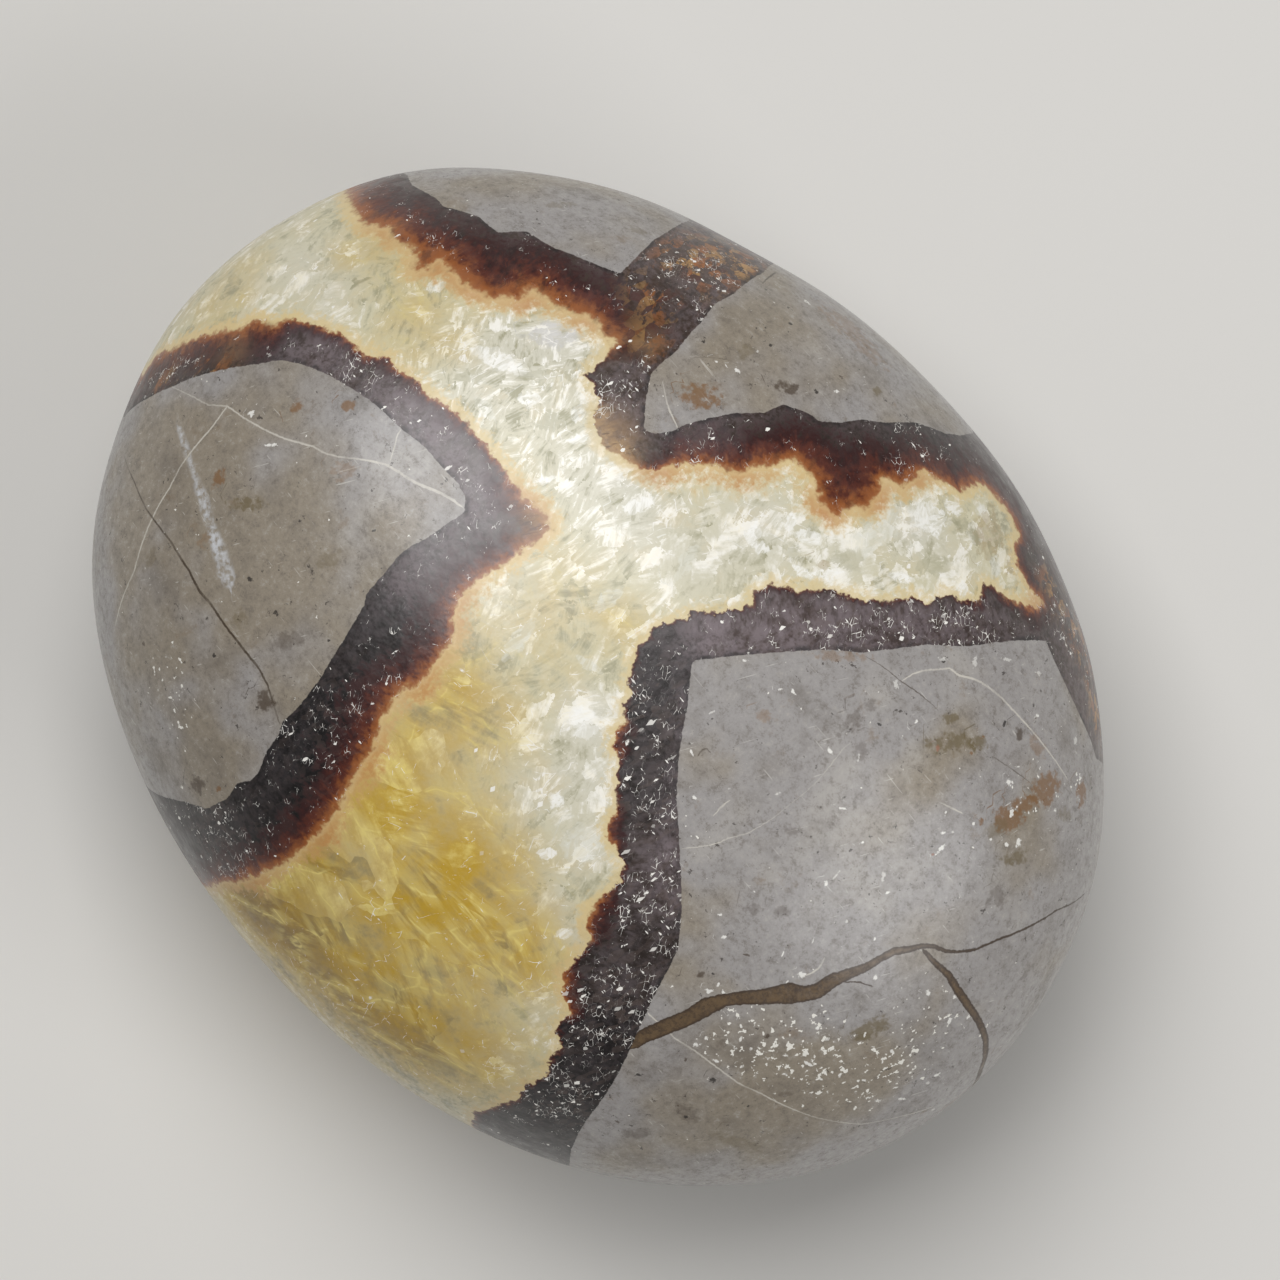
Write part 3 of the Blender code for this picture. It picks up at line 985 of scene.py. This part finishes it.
fields = {name: softPatch(places, groups) for name, groups in patches.items()}
fields.update({name: spreadValues(places, groups) for name, groups in spreads.items()})
for name, slow in drifts.items():
    patch = slow["share"] * fields[slow["patch"]]
    fields[name] = drift(places, slow["scale"], slow["seed"]) + patch + slow["shift"]
for packName, members in packs.items():
    addValues(packName, np.stack([fields[name] for name in members], axis=1))
markLayers = {}
for kind, form in markForms.items():
    layers = dealtApart(markSpots(kind), 2.0 * form["reachMm"] / pixelMm)
    markLayers[kind] = [kind + str(number) for number in range(len(layers))]
    for layerName, layer in zip(markLayers[kind], layers):
        local, colours = measureMarks(places, layer, form["reachMm"])
        addValues(layerName, local)
        addValues(layerName + "Colour", colours)
print("mark layers:", {kind: len(names) for kind, names in markLayers.items()})
addValues("warp", np.stack([drift(places, warpDrift["scale"], seed) for seed in warpDrift["seeds"]], axis=1))
print("patches laid")

# How the stone looks: its screen colours, the layers laid over them, the edges' unevenness and the polish
stoneLook = {
    "tones": {
        "mudstone": (153, 149, 147),
        "mudstoneWarm": (143, 133, 118),
        "mudstoneDark": (102, 94, 85),
        "mudstoneLight": (176, 171, 164),
        "mudStain": (118, 98, 74),
        "mudSpeck": (232, 229, 220),
        "mudPit": (52, 44, 38),
        "paleLine": (206, 201, 190),
        "darkLine": (70, 58, 44),
        "scuff": (204, 206, 210),
        "rustVein": (104, 84, 60),
        "rustVeinEdge": (62, 47, 34),
        "halo": (216, 194, 142),
        "haloHoney": (194, 150, 86),
        "blush": (184, 122, 60),
        "orange": (146, 84, 38),
        "tan": (134, 108, 82),
        "tanPale": (176, 144, 104),
        "redBrown": (84, 36, 22),
        "maroon": (50, 18, 17),
        "deepBlack": (13, 9, 9),
        "deepBrown": (66, 51, 43),
        # The haze tone is partly painted sheen: pale grey-mauve for the lamp's reflection on the dark lining
        "hazeAndSheen": (122, 110, 114),
        "amber": (166, 98, 28),
        "umber": (70, 46, 30),
        "gold": (182, 138, 78),
        "facet": (96, 82, 76),
        "glint": (240, 237, 230),
        "cream": (204, 197, 165),
        "frosted": (206, 203, 188),
        "honey": (188, 153, 50),
        "honeyShade": (150, 118, 36),
        # Painted shade: the deep honey that darkens the lower-left rim
        "honeyPaintedShade": (118, 90, 36),
        "honeyPale": (226, 206, 124),
        "calciteWhite": (244, 241, 232),
        "calciteShade": (162, 158, 130),
    },
    # What shows a layer, where it starts to show and where it shows fully, how strongly, and its tone
    "mudLayers": (
        ("warm", -0.3, 0.7, 1.0, "mudstoneWarm"),
        ("broad", -0.1, -1.0, 0.5, "mudstoneDark"),
        ("broad", 0.5, 1.6, 0.55, "mudstoneLight"),
        ("smudge", 0.50, 0.36, 0.22, "mudstoneDark"),
        ("grain", 0.48, 0.66, 0.65, "mudstoneDark"),
        ("grain", 0.47, 0.34, 0.55, "mudstoneLight"),
        ("smudge", 0.60, 0.74, 0.5, "mudStain"),
        ("pit", 0.640, 0.685, 0.8, "mudPit"),
        ("speck", 0.0, 0.03, 1.0, "mudSpeck"),
        ("scratch", 0.73, 0.80, 0.32, "mudSpeck"),
        ("crossScratch", 0.73, 0.80, 0.32, "mudSpeck"),
    ),
    "liningBands": (
        ("share", 0.0, 0.10, 1.0, "rust"),
        ("share", 0.10, 0.34, 1.0, "redBrown"),
        ("share", 0.30, 0.62, 1.0, "maroon"),
        ("share", 0.60, 1.10, 1.0, "deep"),
    ),
    # Each line's softness in millimetres, its strength and its tone
    "lines": {
        "scuff": (0.22, 1.0, "scuff"),
        "paleLine": (0.03, 0.8, "paleLine"),
        "paleCross": (0.03, 0.8, "paleLine"),
        "darkCrack": (0.04, 1.0, "darkLine"),
    },
    "wallNoiseMm": 0.10,
    "toothMm": 0.42,
    "smooth": 0.34,
    "rough": 0.52,
    "coatWeight": 0.4,
    "coatRoughness": 0.16,
    "bumpStrength": 0.25,
    "bumpDepth": 0.0002,
}
# The patterns. A scale is to the millimetre. An angle is in degrees up from the picture's right: a pattern is
# drawn out along it by its stretch, and the directions of streaks are spread round it.
patterns = {
    "grain": {"scale": 1.5, "octaves": 7.0, "roughness": 0.86},
    "smudge": {"scale": 0.42, "octaves": 5.0, "roughness": 0.72, "shift": (11.0, 3.0, 17.0)},
    "pit": {"scale": 1.6, "octaves": 4.0, "roughness": 0.75, "shift": (9.0, 5.0, 2.0)},
    "blot": {"scale": 2.3, "octaves": 2.0, "roughness": 0.6, "shift": (4.0, 1.0, 6.0)},
    "fine": {"scale": 3.6, "octaves": 2.0, "roughness": 0.7},
    "scratch": {"scale": 1.0, "octaves": 1.0, "roughness": 0.5, "angle": 15.0, "stretch": (7.0, 0.13, 0.5)},
    "crossScratch": {"scale": 1.0, "octaves": 1.0, "roughness": 0.5, "shift": (30.0, 30.0, 0.0),
                     "angle": -50.0, "stretch": (7.0, 0.13, 0.5)},
    "fibre": {"scale": 3.2, "octaves": 3.0, "roughness": 0.65},
    "liningCloud": {"scale": 0.8, "octaves": 5.0, "roughness": 0.66},
    "mottle": {"scale": 0.8, "octaves": 4.0, "roughness": 0.68, "angle": 55.0, "stretch": (1.9, 0.7, 1.0)},
    "tanGrain": {"scale": 1.2, "octaves": 2.0, "roughness": 0.66, "angle": 12.0, "stretch": (2.6, 0.5, 1.0)},
    "crowd": {"scale": 1.1, "octaves": 4.0, "roughness": 0.72, "shift": (7.0, 2.0, 5.0)},
    "rough": {"scale": 1.8, "octaves": 3.0, "roughness": 0.62},
    "calciteCloud": {"scale": 0.42, "octaves": 6.0, "roughness": 0.66},
    "comb": {"scale": 2.6, "octaves": 2.0, "roughness": 0.65},
    "tooth": {"scale": 1.5, "octaves": 2.0, "roughness": 0.6},
    "edge": {"scale": 2.4, "octaves": 3.0, "roughness": 0.6},
    "bump": {"scale": 1.2, "octaves": 2.0, "roughness": 0.6},
    "silk": {"octaves": 3.0, "roughness": 0.62, "angle": -38.0, "spread": 80.0, "squeeze": (0.22, 1.5, 0.8)},
    "blade": {"octaves": 4.0, "roughness": 0.62, "angle": 44.0, "spread": 90.0, "squeeze": (0.42, 2.6, 1.4)},
    "shard": {"scale": 0.26, "angle": -38.0, "stretch": (2.0, 0.8, 1.0)},
    "chip": {"scale": 0.74, "angle": 44.0, "stretch": (1.4, 0.8, 0.9)},
    "veil": {"scale": 0.22, "angle": -24.0, "stretch": (2.1, 0.75, 0.8)},
    "veinShard": {"scale": 1.2, "angle": 50.0, "stretch": (1.6, 0.8, 1.0)},
    "liningThread": {"scale": 2.4, "angle": 75.0, "stretch": (1.5, 0.7, 0.9), "thin": 0.04},
    "calciteThread": {"scale": 0.95, "angle": 20.0, "stretch": (1.5, 0.8, 0.9), "thin": 0.022},
    "spark": {"scale": 2.0, "angle": 30.0, "stretch": (1.5, 0.6, 0.8), "size": 0.62, "soft": 0.12},
    "fineSpark": {"scale": 3.4, "angle": -50.0, "stretch": (1.9, 0.5, 0.8), "size": 0.55, "soft": 0.15},
    "calciteSpark": {"scale": 1.3, "angle": 50.0, "stretch": (1.5, 0.7, 0.7), "size": 0.42, "soft": 0.12},
}


class Value:
    # A node's output, which joins to others by + - * and / as math nodes do
    def __init__(self, graph, socket):
        self.graph = graph
        self.socket = socket

    def __add__(self, other):
        return self.graph.math("ADD", self, other)

    def __sub__(self, other):
        return self.graph.math("SUBTRACT", self, other)

    def __rsub__(self, other):
        return self.graph.math("SUBTRACT", other, self)

    def __mul__(self, other):
        return self.graph.math("MULTIPLY", self, other)

    def __truediv__(self, other):
        return self.graph.math("DIVIDE", self, other)

    def __abs__(self):
        return self.graph.math("ABSOLUTE", self)


class Graph:
    # Short ways to add and join a material's nodes
    def __init__(self, material):
        material.use_nodes = True
        self.tree = material.node_tree
        self.tree.nodes.clear()
        self.opened = {}

    def node(self, kind, inputs, **settings):
        # A new node and its outputs
        node = self.tree.nodes.new("ShaderNode" + kind)
        for name, value in settings.items():
            setattr(node, name, value)
        for socket, value in inputs.items():
            if isinstance(value, Value):
                self.tree.links.new(value.socket, node.inputs[socket])
            else:
                node.inputs[socket].default_value = value
        return [Value(self, output) for output in node.outputs]

    def math(self, operation, first, second=0.0, clamp=False):
        return self.node("Math", {0: first, 1: second}, operation=operation, use_clamp=clamp)[0]

    def larger(self, first, second):
        return self.math("MAXIMUM", first, second)

    def read(self, name):
        # An attribute as a colour, a vector and a number
        return self.node("Attribute", {}, attribute_name=name)

    def split(self, name):
        return self.node("SeparateXYZ", {0: self.read(name)[1]})

    def field(self, name):
        # One of the stone's slow values, out of the attribute that carries it
        for pack, members in packs.items():
            if name in members:
                if pack not in self.opened:
                    self.opened[pack] = self.split(pack)
                return self.opened[pack][members.index(name)]

    def scaled(self, vector, scale):
        return self.node("VectorMath", {0: vector, 3: scale}, operation="SCALE")[0]

    def shifted(self, vector, shift):
        return self.node("VectorMath", {0: vector, 1: shift}, operation="ADD")[0]

    def blend(self, share, first, second):
        return self.node("Mix", {0: share, 2: first, 3: second}, data_type="FLOAT")[0]

    def colour(self, share, first, second):
        return self.node("Mix", {0: share, 6: first, 7: second}, data_type="RGBA")[2]

    def step(self, value, start, end, low=0.0, high=1.0):
        inputs = {"Value": value, "From Min": start, "From Max": end, "To Min": low, "To Max": high}
        return self.node("MapRange", inputs, interpolation_type="SMOOTHSTEP")[0]

    def noise(self, vector, scale, octaves, roughness, depth=None):
        inputs = {"Vector": vector, "Scale": scale, "Detail": octaves, "Roughness": roughness}
        if depth is None:
            return self.node("TexNoise", inputs, noise_dimensions="3D")[0]
        return self.node("TexNoise", {**inputs, "W": depth}, noise_dimensions="4D")[0]

    def drawn(self, place, pattern):
        # Coordinates moved, and drawn out along a direction, as a pattern's settings say
        if "shift" in pattern:
            place = self.shifted(place, pattern["shift"])
        if "stretch" in pattern:
            spin = (0.0, 0.0, turn + math.radians(pattern["angle"]))
            inputs = {"Vector": place, "Rotation": spin, "Scale": pattern["stretch"]}
            place = self.node("Mapping", inputs, vector_type="TEXTURE")[0]
        return place

    def cloudy(self, place, name, depth=None):
        pattern = patterns[name]
        drawn = self.drawn(place, pattern)
        return self.noise(drawn, pattern["scale"], pattern["octaves"], pattern["roughness"], depth)

    def voronoi(self, place, name, **settings):
        inputs = {"Vector": self.drawn(place, patterns[name]), "Scale": patterns[name]["scale"]}
        return self.node("TexVoronoi", inputs, **settings)

    def cells(self, place, name, distance="EUCLIDEAN"):
        # The distance from a cell's middle, and for each cell three random values
        gap, colour = self.voronoi(place, name, distance=distance)[:2]
        return gap, self.node("SeparateColor", {0: colour})[:3]

    def seams(self, place, name):
        # The distance to the straight seams between cells
        return self.voronoi(place, name, feature="DISTANCE_TO_EDGE")[0]

    def threads(self, place, name):
        # Thin lines along the seams
        thin = patterns[name]["thin"]
        return self.step(self.seams(place, name), thin, thin * 0.3)

    def flecks(self, place, name, share):
        # Marks in a share of the cells, of uneven size and strength, and one more random value for each cell
        size, soft = patterns[name]["size"], patterns[name]["soft"]
        gap, (pick, strength, other) = self.cells(place, name, "MANHATTAN")
        reach = (pick - (1.0 - share)) / self.larger(share, 0.001) * size
        mark = self.math("DIVIDE", reach - gap, soft * size, clamp=True)
        return mark * self.step(strength, 0.0, 0.6, 0.3, 1.0), other

    def streaks(self, place, name, pick):
        # Fine parallel streaks, whose direction differs from cell to cell by up to half the spread in degrees
        pattern = patterns[name]
        middle = -turn - math.radians(pattern["angle"] - pattern["spread"] / 2.0)
        spin = pick * -math.radians(pattern["spread"]) + middle
        spun = self.node("VectorRotate", {0: place, 3: spin}, rotation_type="Z_AXIS")[0]
        drawn = self.node("VectorMath", {0: spun, 1: pattern["squeeze"]}, operation="MULTIPLY")[0]
        return self.noise(drawn, 1.0, pattern["octaves"], pattern["roughness"])

    def layered(self, colour, rows, values, tone):
        # Lays tones over a colour one by one, each where a value passes from the row's start to its end
        for name, start, end, strength, coat in rows:
            colour = self.colour(self.step(values[name], start, end, 0.0, strength), colour, tone[coat])
        return colour

    def marked(self, colour, kind, grain):
        # Lays all layers of one kind of marks over a colour, ragged by a grain, and from round to angular
        form = markForms[kind]
        for name in markLayers[kind]:
            across, along, strength = self.split(name)
            square = across * across + along * along
            if form["angular"]:
                square = square + abs(across * along * (2.0 * form["angular"]))
            reach = square + (grain - 0.5) * form["ragged"]
            mask = self.step(reach, 1.0 + form["soft"], 1.0 - form["soft"])
            colour = self.colour(mask * strength, colour, self.read(name + "Colour")[0])
        return colour

    def polish(self, colour, roughness, normal, look):
        inputs = {"Base Color": colour, "Roughness": roughness, "Normal": normal,
                  "Coat Weight": look["coatWeight"], "Coat Roughness": look["coatRoughness"]}
        return self.node("BsdfPrincipled", inputs)[0]


def mudColour(graph, place, tone, look):
    # Grey stone with grain, smudges, pits and scratches, then the single marks, and the cracks that cross it
    names = ("grain", "smudge", "pit", "blot", "fine", "scratch", "crossScratch")
    values = {name: graph.cloudy(place, name) for name in names}
    values["warm"] = graph.field("warm")
    values["broad"] = graph.field("broad")
    values["speck"] = values["blot"] - graph.blend(graph.field("specks"), 0.745, 0.565)
    grain, smudge, blot, fine = [values[name] for name in ("grain", "smudge", "blot", "fine")]
    mud = graph.layered(tone["mudstone"], look["mudLayers"], values, tone)
    mud = graph.marked(mud, "stain", graph.blend(0.7, smudge, blot))
    mud = graph.marked(mud, "nick", fine + 0.13)

    crook = (fine - 0.5) * 0.13
    breaks = graph.step(smudge, 0.35, 0.6, 0.4, 1.0)
    scuffed = graph.step(graph.blend(0.5, grain, blot), 0.42, 0.56, 0.05, 0.85)
    for name, (soft, strength, coat) in look["lines"].items():
        gap, half, _ = graph.split(name)
        line = graph.step(abs(gap + crook) - half, soft, -soft) * breaks * strength
        if name == "scuff":
            line = line * scuffed
        mud = graph.colour(line, mud, tone[coat])
    vein = graph.colour(graph.step(grain, 0.38, 0.66), tone["rustVein"], tone["rustVeinEdge"])
    for name in ("rustVein", "rustBranch"):
        gap, half, _ = graph.split(name)
        deep = half - abs(gap + crook * 1.5)
        filled = graph.colour(graph.step(deep, 0.25, 0.02), vein, tone["rustVeinEdge"])
        mud = graph.colour(graph.step(deep, -0.03, 0.04), mud, filled)
    return mud, graph.step(grain, 0.36, 0.66, look["smooth"], look["rough"])


def liningColour(graph, place, tone, look, wall, depth):
    # Orange by the calcite, near black by the mudstone, with fibres that stand on the wall
    reach, brown, hazeAndSheen = [graph.field(name) for name in ("reach", "brown", "hazeAndSheen")]
    mottled, clearTan, glints = [graph.field(name) for name in ("mottled", "clearTan", "glints")]
    fibre = graph.cloudy(graph.read("wallRoot")[1], "fibre", wall * 0.5)
    cloud = graph.cloudy(place, "liningCloud")
    share = depth / graph.larger(reach * ((fibre + cloud) * 1.7 - 0.7), 0.04)
    streak = graph.step(fibre + cloud * 0.6, 0.62, 0.98)
    deep = graph.colour(brown, tone["deepBlack"], tone["deepBrown"])
    # Fibres streaked with the haze tone, which is partly painted sheen
    deep = graph.colour(streak * (brown * 0.5 + 0.12), deep, tone["hazeAndSheen"])
    rust = graph.colour(graph.step(reach, 1.1, 0.5), tone["orange"], tone["tan"])
    tones = {**tone, "rust": rust, "deep": deep}
    lining = graph.layered(tone["halo"], look["liningBands"], {"share": share}, tones)

    # Amber shards where the lining is mottled, black blots, and the band that is clear and tan
    mottle = graph.cloudy(place, "mottle")
    _, (pick, gilt, red) = graph.cells(place, "veinShard")
    amber = graph.colour(graph.step(gilt, 0.35, 0.65), tone["amber"], tone["gold"])
    amber = graph.colour(graph.step(red, 0.30, 0.20), amber, tone["redBrown"])
    amber = graph.colour(graph.step(fibre, 0.52, 0.40, 0.0, 0.6), amber, tone["umber"])
    shown = graph.step(mottle + (pick - 0.5) * 0.30, 0.46, 0.56)
    lining = graph.colour(mottled * 0.8, lining, tone["umber"])
    lining = graph.colour(shown * mottled, lining, amber)
    darker = graph.step(mottle, 0.46, 0.34) * graph.larger(mottled, brown * 0.6)
    lining = graph.colour(darker, lining, tone["deepBlack"])
    grainAlong = graph.cloudy(place, "tanGrain")
    inward = depth + (grainAlong - 0.5) * 2.6
    tanned = graph.colour(graph.step(inward, 0.1, 1.6), tone["tanPale"], tone["tan"])
    tanned = graph.colour(graph.step(grainAlong, 0.42, 0.32, 0.0, 0.6), tanned, tone["umber"])
    lining = graph.colour(clearTan * graph.step(cloud, 0.34, 0.55, 0.35, 1.0), lining, tanned)
    # Painted sheen in part: the lining turned pale grey-mauve over the haze patches, which are also milky
    # crystal domains
    hazeAndSheenShare = hazeAndSheen * graph.step(cloud, 0.34, 0.60, 0.35, 1.0) * graph.step(share, 0.1, 1.0, 0.3, 1.0)
    lining = graph.colour(hazeAndSheenShare * graph.step(fibre, 0.34, 0.58, 0.45, 1.0), lining, tone["hazeAndSheen"])
    black = graph.step(wall, 0.45, 0.1) * graph.step(cloud, 0.44, 0.6, 0.0, 0.75)
    lining = graph.colour(black, lining, tone["deepBlack"])

    # Crystal faces that catch the light, crowded in places
    crowd = graph.cloudy(place, "crowd") + glints * 0.14
    lit = graph.step(crowd, 0.50, 0.68) * (glints * 0.62 + 0.10) + 0.01
    sparks, face = graph.flecks(place, "spark", lit)
    lining = graph.colour(graph.step(face, 0.45, 1.0) * (glints * 0.40 + 0.05), lining, tone["facet"])
    threads = graph.threads(place, "liningThread") * graph.step(crowd, 0.57, 0.66)
    threads = threads * graph.step(mottle, 0.46, 0.54, 0.1, 1.0)
    fine, _ = graph.flecks(place, "fineSpark", lit * 0.8)
    bright = graph.larger(graph.larger(sparks, threads), fine)
    roughness = graph.step(cloud, 0.36, 0.64, look["smooth"], look["rough"])
    return graph.colour(bright, lining, tone["glint"]), roughness


def calciteColour(graph, place, tone, look, fill):
    # Clouded honey and cream broken into shards, each streaked along its own direction
    honey, white, darkCrystalAndShade = [graph.field(name) for name in ("honey", "white", "darkCrystalAndShade")]
    blades, blocks, blush = [graph.field(name) for name in ("blades", "blocks", "blush")]
    clearTan = graph.field("clearTan")
    warp = graph.read("warp")[1]
    warped = graph.shifted(place, graph.scaled(warp, 1.4))
    _, (shardTone, shardLean, _) = graph.cells(warped, "shard")
    rough = graph.cloudy(place, "rough")
    bent = graph.shifted(place, graph.scaled(warp, 0.5))
    bent = graph.shifted(bent, graph.scaled((1.5, 0.9, 1.2), rough - 0.5))
    _, (chipTone, chipLean, chipWhite) = graph.cells(bent, "chip")
    cloud = graph.cloudy(place, "calciteCloud")
    silk = graph.streaks(place, "silk", shardLean)
    blade = graph.streaks(place, "blade", chipLean)

    # How light each place is, from its cloud, shard, chip and streak, and darker under the shade patches,
    # which are partly painted shade
    clear = honey * (1.0 - white * 0.8)
    dull = 1.0 - clear
    bladed = graph.blend(blades, 0.55, 1.15) * graph.blend(blocks, 1.0, 0.45)
    level = (cloud - 0.5) * graph.blend(clear, 0.9, 0.7) + 0.5
    level = level + (shardTone - 0.5) * clear * 0.24 + (silk - 0.5) * clear * 0.24
    level = level + (chipTone - 0.5) * dull * graph.blend(blocks, 0.18, 0.30)
    level = level + (blade - 0.5) * dull * bladed + (white - darkCrystalAndShade) * 0.10
    amber = graph.math("ADD", honey, (cloud - 0.5) * 1.3, clamp=True)
    calcite = graph.colour(amber, graph.colour(white, tone["cream"], tone["frosted"]), tone["honey"])
    low = graph.colour(amber, tone["calciteShade"], tone["honeyShade"])
    high = graph.colour(amber, tone["calciteWhite"], tone["honeyPale"])
    calcite = graph.colour(graph.step(level, 0.49, 0.26), calcite, low)
    calcite = graph.colour(graph.step(level, 0.52, 0.74), calcite, high)
    # Painted shade: deep honey where the shade patches along the lower-left rim lie over the honey
    deep = darkCrystalAndShade * graph.step(honey, 0.72, 0.98) * graph.step(level, 0.66, 0.40, 0.45, 0.85)
    calcite = graph.colour(deep, calcite, tone["honeyPaintedShade"])

    # White blocks, frost, the single crystals, and the shards' pale and glinting edges
    block = blocks * graph.step(chipWhite, 0.60, 0.70) * graph.step(blade, 0.38, 0.56, 0.1, 0.9)
    calcite = graph.colour(block * graph.step(cloud, 0.40, 0.54, 0.15, 1.0), calcite, tone["calciteWhite"])
    frostNoise = graph.blend(0.5, cloud, blade)
    frost = graph.step(frostNoise - graph.blend(white, 0.66, 0.50), 0.0, 0.10)
    calcite = graph.colour(frost * 0.85, calcite, tone["calciteWhite"])
    crystalled = graph.marked(calcite, "crystal", graph.blend(0.45, blade, rough))
    calcite = graph.colour(graph.step(blade, 0.38, 0.58, 0.35, 0.9), calcite, crystalled)
    veil = graph.seams(warped, "veil")
    edge = graph.step(veil, 0.26, 0.0, 0.0, 0.5) + graph.step(veil, 0.025, 0.0, 0.0, 0.5)
    calcite = graph.colour(edge * graph.step(silk, 0.40, 0.58) * clear, calcite, tone["honeyPale"])
    lit = graph.step(frostNoise + white * 0.06, 0.53, 0.60)
    calcite = graph.colour(graph.threads(warped, "calciteThread") * lit * 0.9, calcite, tone["glint"])
    spark, _ = graph.flecks(place, "calciteSpark", white * 0.16 + 0.03)
    calcite = graph.colour(spark * 0.9, calcite, tone["glint"])

    # The glow beside the lining, ragged but for where the photo shows it even
    comb = graph.cloudy(graph.read("fillRoot")[1], "comb")
    uneven = 1.0 - graph.larger(clearTan * 0.8, blush * 0.55)
    ragged = ((graph.blend(0.5, blade, cloud) - 0.5) * 1.4 + (comb - 0.5) * 2.2) * uneven
    near = fill / (blush * 1.3 + graph.blend(clearTan, 0.75, 1.1)) + ragged
    rim = graph.step(near, 1.1, 0.1) * graph.step(graph.field("reach"), 0.2, 2.0, 0.65, 0.9)
    glow = graph.colour(honey * 0.8, tone["halo"], tone["haloHoney"])
    glow = graph.colour(blush * graph.step(near, 0.85, 0.05), glow, tone["blush"])
    roughness = graph.step(blade, 0.36, 0.64, look["rough"], look["smooth"])
    return graph.colour(rim, calcite, glow), roughness


def dressStone(stone, look):
    material = bpy.data.materials.new("polished septarian")
    graph = Graph(material)
    place = graph.scaled(graph.node("TexCoord", {})[3], 1000.0)      # Object coordinates in millimetres
    tone = {name: paint(value) for name, value in look["tones"].items()}

    # The two edges of the lining, with the unevenness that is finer than the traced outlines.
    # A gap to the calcite is less than nothing within the lining.
    move = graph.cloudy(place, "edge") - 0.5
    wall = graph.read("wallGap")[2] + move * (look["wallNoiseMm"] * 2.0)
    tooth = graph.cloudy(graph.read("fillRoot")[1], "tooth") - 0.5
    fill = graph.read("fillGap")[2] + (tooth + move * 0.6) * (look["toothMm"] * 2.2)
    blur = graph.field("reach") * 0.13 + 0.07
    inMud = graph.step(wall, 0.03, -0.03)
    inFill = graph.step(fill, blur * -1.0, blur * 0.5)
    depth = graph.larger(fill * -1.0, 0.0)

    height = graph.cloudy(place, "bump")
    bump = {"Strength": look["bumpStrength"], "Distance": look["bumpDepth"], "Height": height}
    uneven = graph.node("Bump", bump)[0]
    mud = graph.polish(*mudColour(graph, place, tone, look), uneven, look)
    lining = graph.polish(*liningColour(graph, place, tone, look, wall, depth), uneven, look)
    calcite = graph.polish(*calciteColour(graph, place, tone, look, fill), uneven, look)
    surface = graph.node("MixShader", {0: inFill, 1: lining, 2: calcite})[0]
    surface = graph.node("MixShader", {0: inMud, 1: surface, 2: mud})[0]
    graph.node("OutputMaterial", {0: surface})
    stone.data.materials.clear()
    stone.data.materials.append(material)

dressStone(stone, stoneLook)
print("stone dressed")

# The camera straight above, as in the picture
camera = {
    "sensorMm": 36.0,
    "nearest": 0.01,
    "farthest": 5.0,
}
# Plain soft light and a pale floor. A light's place is right and up in the picture, and its height.
studio = {
    "lights": {
        "overhead": {"place": (-0.10, 0.26, 0.60), "size": 0.45, "power": 3.4},
        "side": {"place": (0.46, -0.28, 0.42), "size": 0.40, "power": 1.6},
    },
    "aimHeight": 0.02,
    "ambient": 0.16,
    "floorColour": (214, 212, 208),
    "floorRoughness": 0.9,
    "floorSize": 1.2,
}


def addObject(name, data):
    placed = bpy.data.objects.new(name, data)
    bpy.context.collection.objects.link(placed)
    return placed


def makeCamera():
    data = bpy.data.cameras.new("camera")
    data.sensor_width = camera["sensorMm"]
    data.lens = data.sensor_width * picture["cameraRise"] / (picture["size"] * pixelSize)
    data.clip_start = camera["nearest"]
    data.clip_end = camera["farthest"]
    placed = addObject("camera", data)
    placed.location = cameraPlace()
    placed.rotation_euler = (0.0, 0.0, turn)
    bpy.context.scene.camera = placed


def makeLight(name, settings):
    data = bpy.data.lights.new(name, "AREA")
    data.size = settings["size"]
    data.energy = settings["power"]
    lamp = addObject(name, data)
    right, up, rise = settings["place"]
    place = right * pictureRight + up * pictureUp
    place[2] = rise
    lamp.location = place
    toStone = mathutils.Vector((0.0, 0.0, studio["aimHeight"])) - mathutils.Vector(place)
    lamp.rotation_euler = toStone.to_track_quat("-Z", "Y").to_euler()


def makeFloor():
    selectNone()
    bpy.ops.mesh.primitive_plane_add(size=studio["floorSize"])
    floor = bpy.context.active_object
    floor.name = "floor"
    material = bpy.data.materials.new("pale floor")
    graph = Graph(material)
    inputs = {"Base Color": paint(studio["floorColour"]), "Roughness": studio["floorRoughness"]}
    graph.node("OutputMaterial", {0: graph.node("BsdfPrincipled", inputs)[0]})
    floor.data.materials.append(material)


def makeStudio():
    for name, settings in studio["lights"].items():
        makeLight(name, settings)
    world = bpy.data.worlds.new("studio")
    world.use_nodes = True
    world.node_tree.nodes["Background"].inputs[0].default_value = (1.0, 1.0, 1.0, 1.0)
    world.node_tree.nodes["Background"].inputs[1].default_value = studio["ambient"]
    bpy.context.scene.world = world
    makeFloor()
    bpy.context.scene.view_settings.view_transform = "Standard"


makeCamera()
makeStudio()
print("camera, lights and floor placed")

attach(stone, "root")
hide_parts("nodule")
